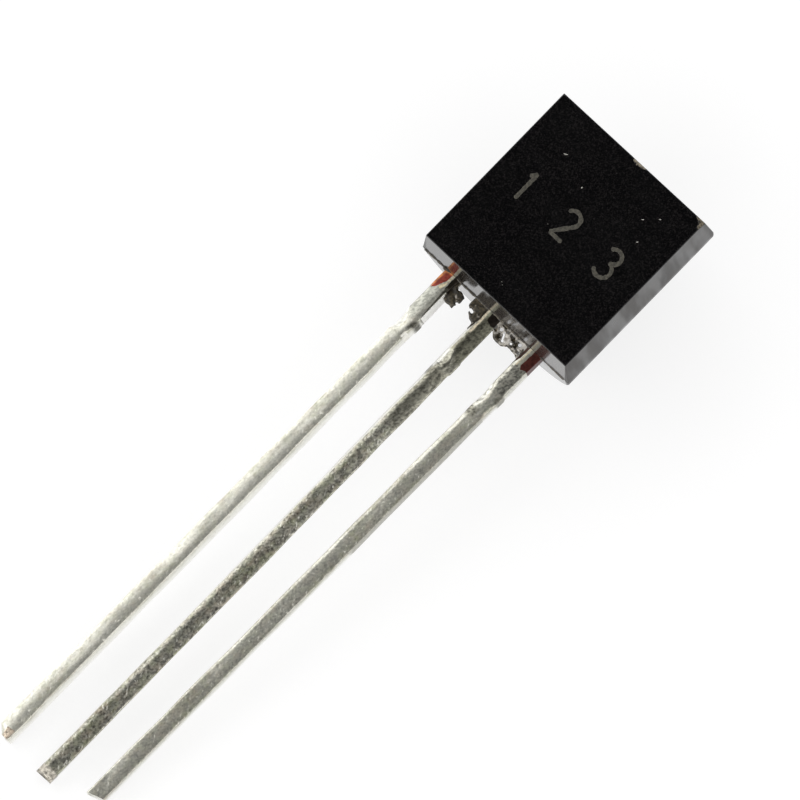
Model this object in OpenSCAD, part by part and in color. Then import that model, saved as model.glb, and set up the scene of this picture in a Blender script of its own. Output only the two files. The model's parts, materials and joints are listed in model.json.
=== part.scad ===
// Small plastic transistor with three leads in a row: a moulded body with a flat front and a
// round back, closed round a stamped lead frame, a chip and its two bond wires.
//
// Every piece is drawn in the package's own axes and then laid down as it comes to rest.
// Package axes: X across the flat, Y from the flat towards the round back, Z along the leads
// with the tips at -Z. The parting plane of the mould is Y = 0, where the body is widest and
// where the front surface of the lead frame lies. Z = 0 is the lead end of that plane.

/* [Body] */
// Width of the body at the parting plane
body_w = 4.53; // [4.3:0.01:4.8]
// Height of the body along the leads, at the parting plane
body_h = 4.65; // [4.4:0.01:4.9]
// Depth of the front half, from the parting plane to the flat
front_depth = 1.25; // [1.1:0.01:1.4]
// Draft of the two sides of the front half, in degrees
side_draft = 4.6; // [1:0.1:8]
// Draft of the two ends of the front half, in degrees
front_end_draft = 5; // [1:0.1:8]
// Draft of the two ends of the round back half, in degrees
back_end_draft = 1; // [0.5:0.1:4]
// Radius of the outline's two corners at the lead end
lead_end_r = 0.02; // [0.01:0.005:0.1]
// Radius of the outline's two corners at the top end
top_end_r = 0.05; // [0.03:0.01:0.2]

/* [Mould marks] */
// Diameter of the ejector pin mark on the round back
ejector_d = 1.5; // [1.2:0.05:1.6]
// Depth of the ejector pin mark below the back's highest line
ejector_depth = 0.15; // [0.1:0.01:0.25]
// Height of the ejector pin mark's centre above the lead end
ejector_z = 2.6; // [2:0.05:3]
// Length of the gate scar along the top edge of the flat
gate_l = 0.3; // [0.2:0.01:0.5]
// Depth of the gate scar, measured square to the edge it breaks
gate_depth = 0.05; // [0.03:0.01:0.08]
// Distance of the gate scar to the right of the body's middle
gate_x = 0.17; // [-0.5:0.01:0.5]
// Reach of the chip off the flat's upper right corner along the flat's top edge
corner_chip_w = 0.17; // [0.05:0.01:0.25]
// Reach of that chip down the flat's side edge
corner_chip_h = 0.07; // [0.03:0.01:0.15]
// Reach of that chip back along the body's corner
corner_chip_d = 0.1; // [0.03:0.01:0.15]

/* [Leads] */
// Width of a lead
lead_w = 0.41; // [0.38:0.01:0.5]
// Thickness of the lead frame
lead_t = 0.38; // [0.36:0.01:0.45]
// Radius of the leads' front edges outside the body
lead_front_r = 0.08; // [0.03:0.01:0.12]
// Radius of the leads' back edges outside the body
lead_back_r = 0.05; // [0.03:0.01:0.12]
// Distance between neighbouring leads
lead_pitch = 1.27; // [1.22:0.01:1.32]
// Distance of the centre lead to the left of the body's middle
row_offset = 0.04; // [0:0.005:0.1]
// Length of the left lead below the body
left_lead_len = 14.34; // [13.5:0.01:14.6]
// Length of the centre lead below the body
centre_lead_len = 14.39; // [13.5:0.01:14.6]
// Length of the right lead below the body
right_lead_len = 13.97; // [13.5:0.01:14.6]
// Lean of the left lead below its dam bar stub, to the right, in degrees
left_lead_lean = -0.2; // [-1:0.1:1]
// Lean of the right lead below its dam bar stub, to the right, in degrees
right_lead_lean = -0.6; // [-1:0.1:1]
// Width of the bevel sheared across the left lead's tip
left_tip_bevel = 0.19; // [0.1:0.01:0.25]
// Slant of the shear cut across the right lead's tip, in degrees
right_tip_slant = 19; // [0:1:30]
// Distance from the body to the middle of the place where the dam bar was cut off
dam_bar_z = 1.44; // [1.3:0.01:2]
// Height along the lead of the stub that the dam bar left on each lead's right side
stub_h = 0.32; // [0.2:0.01:0.6]
// How far that stub stands out of the lead's side
stub_proud = 0.03; // [0.01:0.005:0.05]
// Height along the lead of the nick that the cut pressed into each lead's left front edge
nick_h = 0.68; // [0.4:0.01:0.9]
// Depth of that nick, measured square to the edge it takes off
nick_depth = 0.11; // [0.05:0.01:0.13]
// Angle by which the nick's face turns from the lead's side towards its front, in degrees
nick_tilt = 55; // [40:1:70]
// Height along the lead of the smaller nick below the stub
low_nick_h = 0.36; // [0.2:0.01:0.5]
// Depth of that smaller nick
low_nick_depth = 0.075; // [0.04:0.005:0.1]

/* [Lead frame inside the body] */
// Height of the outer leads' bond posts above the lead end
post_z = 1.0; // [0.8:0.05:1.2]
// Height of a bond post along the lead
post_h = 0.75; // [0.6:0.05:0.8]
// Reach of a bond post from its lead's middle towards the centre lead
post_in = 0.5; // [0.4:0.01:0.55]
// Reach of a bond post from its lead's middle towards the body's side
post_out = 0.38; // [0.3:0.01:0.45]
// Height of the die paddle's lower edge above the lead end
paddle_z = 2.1; // [2.05:0.05:2.2]
// Width of the die paddle
paddle_w = 2.0; // [1.6:0.05:2.4]
// Height of the die paddle along the lead
paddle_h = 1.6; // [1.4:0.05:1.7]
// Size of the locking notch in each side of the die paddle
paddle_notch = 0.16; // [0.1:0.01:0.2]
// Length of the slanted corners of the posts and the paddle
frame_chamfer = 0.14; // [0.08:0.01:0.18]

/* [Chip and bond wires] */
// Side of the square silicon chip
die_w = 0.62; // [0.5:0.01:0.8]
// Thickness of the silicon chip
die_t = 0.22; // [0.18:0.01:0.3]
// Thickness of the solder under the chip
solder_t = 0.03; // [0.02:0.005:0.05]
// Distance that the solder shows round the chip
solder_margin = 0.06; // [0.03:0.01:0.1]
// Diameter of a bond wire
wire_d = 0.05; // [0.04:0.005:0.06]
// Diameter of the ball that starts a bond wire on the chip
ball_d = 0.12; // [0.1:0.01:0.14]
// Height of that ball
ball_h = 0.04; // [0.03:0.005:0.05]
// Straight rise of a bond wire above its ball
wire_rise = 0.14; // [0.1:0.01:0.2]
// Radius of a bond wire's bend at the top of its loop
wire_bend_r = 0.1; // [0.08:0.01:0.14]
// Distance of each bond pad from the chip's middle, along both of its sides
pad_offset = 0.15; // [0.1:0.01:0.18]

/* [Resin flash] */
// Thickness of the resin webs left between the leads
web_t = 0.14; // [0.1:0.01:0.2]
// Distance of those webs behind the parting plane
web_y = 0.06; // [0.04:0.01:0.15]
// Reach of the web beside the left lead, from that lead's middle
left_web_w = 0.54; // [0.4:0.01:0.6]
// Drop of that web below the body
left_web_h = 0.55; // [0.4:0.01:0.7]
// Reach of the web at the centre lead's left, from that lead's middle
centre_web_w = 0.57; // [0.4:0.01:0.6]
// Drop of that web down the lead
centre_web_h = 0.66; // [0.4:0.01:0.8]
// Drop of the web between the centre and the right lead at its lowest
right_web_h = 0.5; // [0.3:0.01:0.6]
// Diameter of the largest bubble that burst in a web
bubble_d = 0.084; // [0.05:0.002:0.1]
// Thickness of the thin fin along the parting line at the lead end
fin_t = 0.05; // [0.04:0.01:0.08]
// Height of that fin's bead beside the left lead
fin_h = 0.07; // [0.04:0.01:0.1]

/* [Hidden] */
$fn = 64;

// Overlap that makes a cut run clear of the face it starts from
clear = 0.5;
// How far the drawn flash reaches up into the body, so that the two are one piece
root = 0.1;

back_r = body_w / 2;
flat_w = body_w - 2 * front_depth * tan(side_draft);
flat_inset_z = front_depth * tan(front_end_draft);
flat_h = body_h - 2 * flat_inset_z;
back_inset_z = back_r * tan(back_end_draft);

left_x = -row_offset - lead_pitch;
centre_x = -row_offset;
right_x = -row_offset + lead_pitch;

paddle_mid_z = paddle_z + paddle_h / 2;
post_mid_z = post_z + post_h / 2;
// Middle of a bond post's face, measured from its lead towards the centre lead
post_mid_in = (post_in - post_out) / 2;
die_top = solder_t + die_t;

// The part lies on its round back: the back's lower edge and the longest lead's tip touch the
// ground, so the tilt is the slope of the line through those two points.
longest_lead = max(left_lead_len, centre_lead_len, right_lead_len);
rest_tilt = atan((back_r - lead_t) / (longest_lead + back_inset_z));
rest_z = back_r * cos(rest_tilt) - back_inset_z * sin(rest_tilt);
// Reach of the laid part towards the body's top end and towards the lead tips
reach_top = max(body_h * cos(rest_tilt),
                back_r * sin(rest_tilt) + (body_h - back_inset_z) * cos(rest_tilt));
reach_tip = longest_lead * cos(rest_tilt);
rest_y = (reach_tip - reach_top) / 2;

// Lays a piece down on the round back, over the middle of the ground it covers
module lying() {
    translate([0, rest_y, rest_z]) rotate([rest_tilt - 90, 0, 0]) children();
}

// An outline drawn in shares of a width and a height, set to the side of a place
function sized(shares, width, height, place) =
    [for (p = shares) [place + p[0] * width, p[1] * height]];

// A flat piece in the plane of the lead frame: its outline is given in X and Z
module plate(outline, front, thickness) {
    translate([0, front + thickness, 0]) rotate([90, 0, 0])
        linear_extrude(thickness) polygon(outline);
}

// ---- Body ----------------------------------------------------------------------------------

// Section of the body across the leads: drafted front half and half-round back
module plan_section() {
    polygon([[-flat_w / 2, -front_depth], [flat_w / 2, -front_depth],
             [back_r, 0], [-back_r, 0]]);
    intersection() {
        circle(back_r);
        translate([-body_w, 0]) square([2 * body_w, body_w]);
    }
}

// Section of the body along the leads, as an outline in Y and Z
module side_section() {
    far = back_r + clear;
    far_inset = far * tan(back_end_draft);
    polygon([[-front_depth, flat_inset_z], [0, 0], [far, far_inset],
             [far, body_h - far_inset], [0, body_h], [-front_depth, body_h - flat_inset_z]]);
}

// Rectangle from the origin up and to both sides, with its lower and its upper corners rounded
module rounded_rectangle(width, height, lower_r, upper_r) {
    difference() {
        translate([-width / 2, 0]) square([width, height]);
        for (side = [-1, 1], end = [0, 1]) {
            radius = end == 0 ? lower_r : upper_r;
            corner = [side * width / 2, end * height];
            middle = [side * (width / 2 - radius), end == 0 ? radius : height - radius];
            difference() {
                translate([min(corner.x, middle.x), min(corner.y, middle.y)])
                    square([radius, radius]);
                translate(middle) circle(radius, $fn = 32);
            }
        }
    }
}

module moulded_block() {
    intersection() {
        linear_extrude(body_h) plan_section();
        translate([-body_w, 0, 0]) rotate([90, 0, 90]) linear_extrude(2 * body_w) side_section();
        translate([0, body_w, 0]) rotate([90, 0, 0]) linear_extrude(2 * body_w)
            rounded_rectangle(body_w, body_h, lead_end_r, top_end_r);
    }
}

// Flat-bottomed round mark that the ejector pin leaves on the back
module ejector_mark() {
    translate([0, back_r - ejector_depth, ejector_z]) rotate([-90, 0, 0])
        cylinder(h = ejector_depth + clear, d = ejector_d);
}

// Scar where the resin gate broke off the flat's top edge: a shallow wedge through that edge
module gate_scar() {
    translate([gate_x, -front_depth, body_h - flat_inset_z]) rotate([45, 0, 0])
        translate([-gate_l / 2, -clear, -gate_depth]) cube([gate_l, 2 * clear, clear]);
}

// Chip off the flat's upper right corner: everything beyond the plane that passes through one
// point on each of the three edges that meet there
module broken_corner() {
    away = [1 / corner_chip_w, -1 / corner_chip_d, 1 / corner_chip_h];
    translate([flat_w / 2 - corner_chip_w, -front_depth, body_h - flat_inset_z])
        rotate([0, acos(away.z / norm(away)), atan2(away.y, away.x)])
            translate([-clear, -clear, 0]) cube([2 * clear, 2 * clear, clear]);
}

// Bubble that broke open right through a web, from one place to another
module bubble(start, end, d) {
    run = end - start;
    for (spot = [start, end])
        translate([spot.x, web_y - clear, spot.y]) rotate([-90, 0, 0])
            cylinder(h = web_t + 2 * clear, d = d, $fn = 24);
    translate([start.x, web_y - clear, start.y]) rotate([0, -atan2(run.y, run.x), 0])
        translate([0, 0, -d / 2]) cube([norm(run), web_t + 2 * clear, d]);
}

// Resin web beside the left lead: a square tab with a bite out of its outer edge
module left_tab() {
    w = left_web_w;
    h = left_web_h;
    difference() {
        plate(sized([[0, root / h], [0, -0.91], [0.19, -0.91], [0.52, -1], [0.85, -0.98],
                     [0.98, -0.62], [1, -0.36], [0.81, -0.27], [0.57, -0.27], [0.48, -0.18],
                     [0.48, root / h]], w, h, left_x), web_y, web_t);
        bubble([left_x + 0.91 * w, -0.73 * h], [left_x + 1.1 * w, -0.73 * h], 0.7 * bubble_d);
    }
}

// Resin web beside the centre lead's left edge: it tapers down the lead
module centre_tab() {
    w = centre_web_w;
    h = centre_web_h;
    difference() {
        plate(sized([[0, root / h], [0, -0.76], [-0.18, -0.76], [-0.39, -1], [-0.44, -0.76],
                     [-0.61, -0.7], [-0.79, -0.56], [-0.88, -0.45], [-1, -0.36],
                     [-1, root / h]], w, h, centre_x), web_y, web_t);
        bubble([centre_x - 0.8 * w, -0.44 * h], [centre_x - 0.72 * w, -0.45 * h],
               0.8 * bubble_d);
    }
}

// Resin web that closes the gap between the centre lead and the right lead, with its bubbles
module right_web() {
    w = lead_pitch;
    h = right_web_h;
    difference() {
        plate(sized([[0, root / h], [0, -0.52], [0.17, -0.54], [0.3, -0.78], [0.46, -0.78],
                     [0.54, -0.56], [0.81, -0.62], [0.83, -1], [1, -1], [1, root / h]],
                    w, h, centre_x), web_y, web_t);
        for (spot = [[0.279, -0.27, 0.95], [0.428, -0.62, 0.71], [0.576, -0.45, 0.62],
                     [0.704, -0.22, 1]])
            translate([centre_x + spot[0] * w, web_y - clear, spot[1] * h])
                rotate([-90, 0, 0])
                    cylinder(h = web_t + 2 * clear, d = spot[2] * bubble_d, $fn = 24);
        bubble([centre_x + 0.354 * w, -0.3 * h], [centre_x + 0.402 * w, -0.54 * h],
               bubble_d / 2);
    }
}

// Thin fin of resin along the parting line, with a bead beside the left lead
module parting_fin() {
    tip = body_w / 2 - lead_end_r;
    thin = 0.4 * fin_h;
    plate([[-tip, root], [-tip, -thin], [left_x - 1.2 * lead_w, -thin],
           [left_x - 0.75 * lead_w, -thin], [left_x - 0.66 * lead_w, -fin_h],
           [left_x - 0.51 * lead_w, -fin_h], [left_x, -thin], [right_x, -thin],
           [right_x + lead_w, -0.7 * thin], [tip, -thin], [tip, root]],
          0, fin_t);
}

module body() {
    color([0.05, 0.05, 0.055]) lying() difference() {
        union() {
            difference() {
                moulded_block();
                ejector_mark();
                gate_scar();
                broken_corner();
            }
            left_tab();
            centre_tab();
            right_web();
            parting_fin();
        }
        left_lead_form();
        centre_lead_form();
        right_lead_form();
        solder_form();
        die_form();
        for (side = [-1, 1]) bond_wire_form(side);
    }
}

// ---- Lead frame ----------------------------------------------------------------------------

// Straight length of lead, from a height above the lead end down to one below it
module lead_bar(top, bottom) {
    translate([0, 0, bottom]) linear_extrude(top - bottom)
        rounded_rectangle(lead_w, lead_t, lead_front_r, lead_back_r);
}

// Sheared remains of the dam bar on the right side of a lead
module dam_bar_stub() {
    slope = 2 * stub_proud;
    wide = lead_w / 2 + stub_proud;
    narrow = lead_w / 2 - lead_front_r;
    top = stub_h / 2 - dam_bar_z;
    bottom = -stub_h / 2 - dam_bar_z;
    translate([0, lead_front_r, 0])
        plate([[narrow, top], [wide, top - slope], [wide, bottom + slope], [narrow, bottom]],
              0, lead_t - lead_front_r - lead_back_r);
}

// Wedge pressed into a front edge of a lead, so long as height and so deep as depth, round a
// middle z below the body. tilt turns it from X, so that it runs into the lead.
module nick(edge_x, tilt, z, height, depth) {
    half = height / 2;
    translate([edge_x, 0, 0]) rotate([0, 0, tilt])
        plate([[0, half - z], [depth, half / 4 - z], [depth, -half / 2 - z], [0, -half - z],
               [-clear, -half - z], [-clear, half - z]], -clear, 2 * clear);
}

// Everything that a lead shows outside the body, with its root up to neck_top inside it.
// Below the dam bar's cut the lead leans to the right by lean degrees.
module lead_outside(length, lean, neck_top) {
    difference() {
        union() {
            lead_bar(neck_top, -dam_bar_z);
            dam_bar_stub();
            translate([0, 0, -dam_bar_z]) rotate([0, -lean, 0])
                lead_bar(0, dam_bar_z - length);
        }
        nick(-lead_w / 2, nick_tilt, dam_bar_z, nick_h, nick_depth);
        nick(lead_w / 2, 180 - nick_tilt, dam_bar_z + stub_h / 2 + low_nick_h / 4, low_nick_h,
             low_nick_depth);
    }
}

// Outline of a bond post, from the neck out to both sides, mirrored for the left lead
module bond_post(side) {
    c = frame_chamfer;
    top = post_z + post_h;
    inner = -side * post_in;
    outer = side * post_out;
    neck = side * lead_w / 2;
    plate([[-neck, post_z - c], [inner, post_z], [inner, top - c], [inner + side * c, top],
           [outer - side * c, top], [outer, top - c], [outer, post_z], [neck, post_z - c]],
          0, lead_t);
}

// Die paddle with slanted corners and a locking notch in each side
module die_paddle() {
    c = frame_chamfer;
    n = paddle_notch;
    half = paddle_w / 2;
    top = paddle_z + paddle_h;
    right_edge = [[lead_w / 2, paddle_z - c], [lead_w / 2 + c, paddle_z], [half - c, paddle_z],
                  [half, paddle_z + c], [half, paddle_mid_z - n], [half - n, paddle_mid_z],
                  [half, paddle_mid_z + n], [half, top - c], [half - c, top]];
    left_edge = [for (i = [len(right_edge) - 1 : -1 : 0]) [-right_edge[i].x, right_edge[i].y]];
    plate(concat(right_edge, left_edge), 0, lead_t);
}

module left_lead_form() {
    translate([left_x, 0, 0]) {
        difference() {
            lead_outside(left_lead_len, left_lead_lean, post_z);
            // Bevel that the shears left across the tip's outer corner
            translate([-lead_w / 2, 0, left_tip_bevel - left_lead_len]) rotate([0, 45, 0])
                translate([-clear, -clear, -2 * clear]) cube(2 * clear);
        }
        bond_post(-1);
    }
}

module centre_lead_form() {
    translate([centre_x, 0, 0]) {
        lead_outside(centre_lead_len, 0, paddle_z);
        die_paddle();
    }
}

module right_lead_form() {
    translate([right_x, 0, 0]) {
        difference() {
            lead_outside(right_lead_len, right_lead_lean, post_z);
            // Slanted shear cut, which leaves the tip's inner corner the longest
            translate([-lead_w / 2, 0, -right_lead_len]) rotate([0, -right_tip_slant, 0])
                translate([-2 * clear, -clear, -2 * clear]) cube([4 * clear, 2 * clear, 2 * clear]);
        }
        bond_post(1);
    }
}

module left_lead() { color([0.66, 0.65, 0.58]) lying() left_lead_form(); }

module centre_lead() { color([0.45, 0.45, 0.4]) lying() centre_lead_form(); }

module right_lead() { color([0.55, 0.54, 0.48]) lying() right_lead_form(); }

// ---- Chip and bond wires -------------------------------------------------------------------

// Square plate on the paddle's front face, from one depth in front of it to another
module on_paddle(side, low, high) {
    translate([centre_x - side / 2, -high, paddle_mid_z - side / 2])
        cube([side, high - low, side]);
}

module solder_form() { on_paddle(die_w + 2 * solder_margin, 0, solder_t); }

module die_form() { on_paddle(die_w, solder_t, die_top); }

// A bond wire, from its ball on the chip over one bend down to the bond post's face.
// It is drawn in its own plane: X runs from the ball towards the post, and Z away from the
// lead frame. The slope touches the bend's circle and ends on the post, which sets its angle.
module bond_wire_form(side) {
    start = [centre_x + side * pad_offset, paddle_mid_z - pad_offset];
    end = [centre_x + side * (lead_pitch - post_mid_in), post_mid_z];
    span = norm(end - start);
    heading = atan2(end.y - start.y, end.x - start.x);
    bend_z = die_top + ball_h + wire_rise;
    run = span - wire_bend_r;
    slope = atan(bend_z / run) + asin(wire_bend_r / norm([run, bend_z]));
    slope_length = sqrt(pow(run, 2) + pow(bend_z, 2) - pow(wire_bend_r, 2));
    translate([start.x, 0, start.y]) rotate([0, -heading, 0]) rotate([90, 0, 0]) {
        translate([0, 0, die_top]) cylinder(h = ball_h, d = ball_d, $fn = 32);
        translate([0, 0, die_top + ball_h / 2])
            cylinder(h = wire_rise + ball_h / 2, d = wire_d, $fn = 24);
        translate([wire_bend_r, 0, bend_z]) rotate([90, 0, 0]) rotate([0, 0, 90 - slope])
            rotate_extrude(angle = 90 + slope, $fn = 96)
                translate([wire_bend_r, 0]) circle(d = wire_d, $fn = 24);
        intersection() {
            translate([span, 0, 0]) rotate([0, slope - 90, 0]) translate([0, 0, -clear])
                cylinder(h = slope_length + clear, d = wire_d, $fn = 24);
            translate([0, -clear, 0]) cube([span + clear, 2 * clear, bend_z + clear]);
        }
    }
}

module die() { color([0.33, 0.35, 0.4]) lying() die_form(); }

module die_solder() { color([0.6, 0.6, 0.62]) lying() solder_form(); }

module left_bond_wire() { color([0.85, 0.66, 0.25]) lying() bond_wire_form(-1); }

module right_bond_wire() { color([0.85, 0.66, 0.25]) lying() bond_wire_form(1); }

body();
left_lead();
centre_lead();
right_lead();
die();
die_solder();
left_bond_wire();
right_bond_wire();
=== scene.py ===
"""Looks of a small plastic transistor with three leads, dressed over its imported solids.

Shapes are worked out in the package's own axes, in millimetres: X across the flat, Y from the
flat towards the round back, Z along the leads with the tips at -Z. The parting plane, where the
mould halves met and where the leads' front surface lies, is Y = 0, and the body's lead end is at
Z = 0. PackageAxes lays them in the row frame, in metres. Every mesh carries its points in those
axes in the attribute package_mm, and the finishes read their patterns from it.
"""

import json
import logging
import math
from abc import ABC, abstractmethod
from dataclasses import dataclass
from enum import Enum

import bmesh
import bpy
import numpy as np
from mathutils import Matrix


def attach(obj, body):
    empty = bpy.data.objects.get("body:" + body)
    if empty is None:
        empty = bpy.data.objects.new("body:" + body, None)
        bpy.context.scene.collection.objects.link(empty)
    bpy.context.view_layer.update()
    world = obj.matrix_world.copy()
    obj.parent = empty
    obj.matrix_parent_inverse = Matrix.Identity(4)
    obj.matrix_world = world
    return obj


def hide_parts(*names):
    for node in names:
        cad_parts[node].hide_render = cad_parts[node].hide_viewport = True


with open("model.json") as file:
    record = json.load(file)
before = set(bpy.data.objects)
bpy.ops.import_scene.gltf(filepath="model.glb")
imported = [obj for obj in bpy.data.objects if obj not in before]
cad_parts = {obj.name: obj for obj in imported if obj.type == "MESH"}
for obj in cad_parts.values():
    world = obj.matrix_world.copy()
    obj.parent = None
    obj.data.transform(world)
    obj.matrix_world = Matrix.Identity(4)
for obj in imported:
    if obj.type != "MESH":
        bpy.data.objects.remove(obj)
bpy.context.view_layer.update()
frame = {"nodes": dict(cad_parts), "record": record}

MM = 0.001
WELD = 2e-7
TINY = 1e-9
BODY = "root"
PLACE = "package_mm"
BROKEN = "broken"
SHEARED = "sheared"

Array = np.ndarray
Colour = tuple[float, float, float]
Place = tuple[float, float, float]
Pair = tuple[float, float]
Outline = tuple[Pair, ...]
log = logging.getLogger("transistor")


# ---- Arrays --------------------------------------------------------------------------------


def eased(values: Array, low: float, high: float) -> Array:
    """Rises from 0 at low to 1 at high as t * t * (3 - 2 * t), with t the share of the way.

    Args:
        values: Where to work it out.
        low: Value that gives 0.
        high: Value that gives 1. It may lie below low.

    Returns:
        Numbers from 0 to 1, in the shape of values.
    """
    t = np.clip((values - low) / (high - low), 0, 1)
    return t * t * (3 - 2 * t)


def ripple(points: Array, wavelength: float, seed: int, waves: int = 14) -> Array:
    """Smooth seeded unevenness, about 0.7 high: the sum of waves sin(2 pi d . p + phase), whose
    vectors d point at random and are 0.7 to 1.5 times as long as 1 / wavelength, divided by the
    root of their number.

    Args:
        points: Places in millimetres, in the last axis.
        wavelength: Middle distance between crests.
        seed: Number that fixes the waves.
        waves: How many waves are added.

    Returns:
        One number for each point.
    """
    rng = np.random.default_rng(seed)
    directions = rng.normal(size=(waves, 3))
    directions *= rng.uniform(0.7, 1.5, (waves, 1)) / np.linalg.norm(
        directions, axis=1, keepdims=True
    )
    phases = rng.uniform(0, 2 * np.pi, waves)
    turns = 2 * np.pi * points @ directions.T / wavelength + phases
    return np.sin(turns).sum(-1) / math.sqrt(waves)


def grid_quads(rows: int, columns: int, closed: bool) -> Array:
    """Quads between the neighbouring points of a grid that is stored row by row.

    Args:
        rows: Number of rows.
        columns: Points in a row.
        closed: Whether the last point of a row is joined to its first.

    Returns:
        Four point numbers for each quad.
    """
    index = np.arange(rows * columns).reshape(rows, columns)
    here = index if closed else index[:, :-1]
    beside = np.roll(index, -1, axis=1) if closed else index[:, 1:]
    return np.stack([here[:-1], beside[:-1], beside[1:], here[1:]], -1).reshape(-1, 4)


def rounded_rings(
    half_width: Array, low: Array, high: Array, lower_radius: Array, upper_radius: Array,
    along: int, corner: int
) -> tuple[Array, Array]:
    """Rounded rectangles, one for each entry of the arrays: four straight sides and four quarter
    circles of the given radii, run round anticlockwise from the lower left.

    Args:
        half_width: Half the width of each rectangle.
        low: Its lower edge.
        high: Its upper edge.
        lower_radius: The radius of its lower corners.
        upper_radius: The radius of its upper corners.
        along: Points on each straight side.
        corner: Points on each quarter circle.

    Returns:
        The first and the second coordinate of the points, each with one row for a rectangle.
    """
    w, a, b, r, s = (v[:, None] for v in (half_width, low, high, lower_radius, upper_radius))
    t = np.linspace(0, 1, along, endpoint=False)[None]
    q = np.linspace(0, np.pi / 2, corner, endpoint=False)[None]
    rise = b - a - r - s
    sides = [
        (-w + r + 2 * (w - r) * t, a + 0 * t),
        (w - r + r * np.sin(q), a + r - r * np.cos(q)),
        (w + 0 * t, a + r + rise * t),
        (w - s + s * np.cos(q), b - s + s * np.sin(q)),
        (w - s - 2 * (w - s) * t, b + 0 * t),
        (-w + s - s * np.sin(q), b - s + s * np.cos(q)),
        (-w + 0 * t, b - s - rise * t),
        (-w + r - r * np.cos(q), a + r - r * np.sin(q)),
    ]
    return np.concatenate([s[0] for s in sides], 1), np.concatenate([s[1] for s in sides], 1)


def inside_depth(points: Array, outline: Array) -> Array:
    """How deep points lie inside a closed outline: the distance to its nearest edge, which is
    negative outside. Each edge gives the distance to its own nearest point, and the number of
    edges that a ray to the right crosses tells inside from outside.

    Args:
        points: Places in the plane, in the last axis.
        outline: The outline's corners in order.

    Returns:
        One number for each point.
    """
    start, end = outline, np.roll(outline, -1, axis=0)
    run = end - start
    to_point = points[..., None, :] - start
    share = np.clip((to_point * run).sum(-1) / (run * run).sum(-1), 0, 1)
    nearest = np.linalg.norm(to_point - share[..., None] * run, axis=-1).min(-1)
    level = points[..., None, 1]
    spans = (start[:, 1] > level) != (end[:, 1] > level)
    rise = np.where(run[:, 1] == 0, 1, run[:, 1])
    crossing = start[:, 0] + (level - start[:, 1]) * run[:, 0] / rise
    inside = (spans & (points[..., None, 0] < crossing)).sum(-1) % 2 == 1
    return np.where(inside, nearest, -nearest)


# ---- Frame and meshes ----------------------------------------------------------------------


def linked(name: str, data: bpy.types.Mesh | bpy.types.Camera) -> bpy.types.Object:
    """Makes an object and puts it into the scene.

    Args:
        name: Name of the object.
        data: Its mesh or camera.

    Returns:
        The object.
    """
    made = bpy.data.objects.new(name, data)
    bpy.context.scene.collection.objects.link(made)
    return made


@dataclass(frozen=True)
class PackageAxes:
    """The package's own axes, in the row frame."""

    origin: Array
    axes: Array

    @classmethod
    def from_record(cls, record: dict, lead_middle: Place) -> "PackageAxes":
        """Reads the axes off the record's mounts: the flat faces -Y and the leads point to -Z.

        Args:
            record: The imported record.
            lead_middle: The lead row's mount in package axes, in millimetres.

        Returns:
            The axes.
        """
        mounts = {mount["name"]: mount for mount in record["mounts"]}
        z = -np.array(mounts["lead_row"]["axis"])
        y = -np.array(mounts["flat"]["axis"])
        axes = np.stack([np.cross(y, z), y, z], 1)
        axes /= np.linalg.norm(axes, axis=0)
        middle = np.array(mounts["lead_row"]["pos_m"])
        return cls(middle - axes @ np.array(lead_middle) * MM, axes)

    def place(self, points: Array) -> Array:
        """Points in millimetres in package axes, as points in metres in the row frame."""
        return self.origin + points @ self.axes.T * MM


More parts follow.
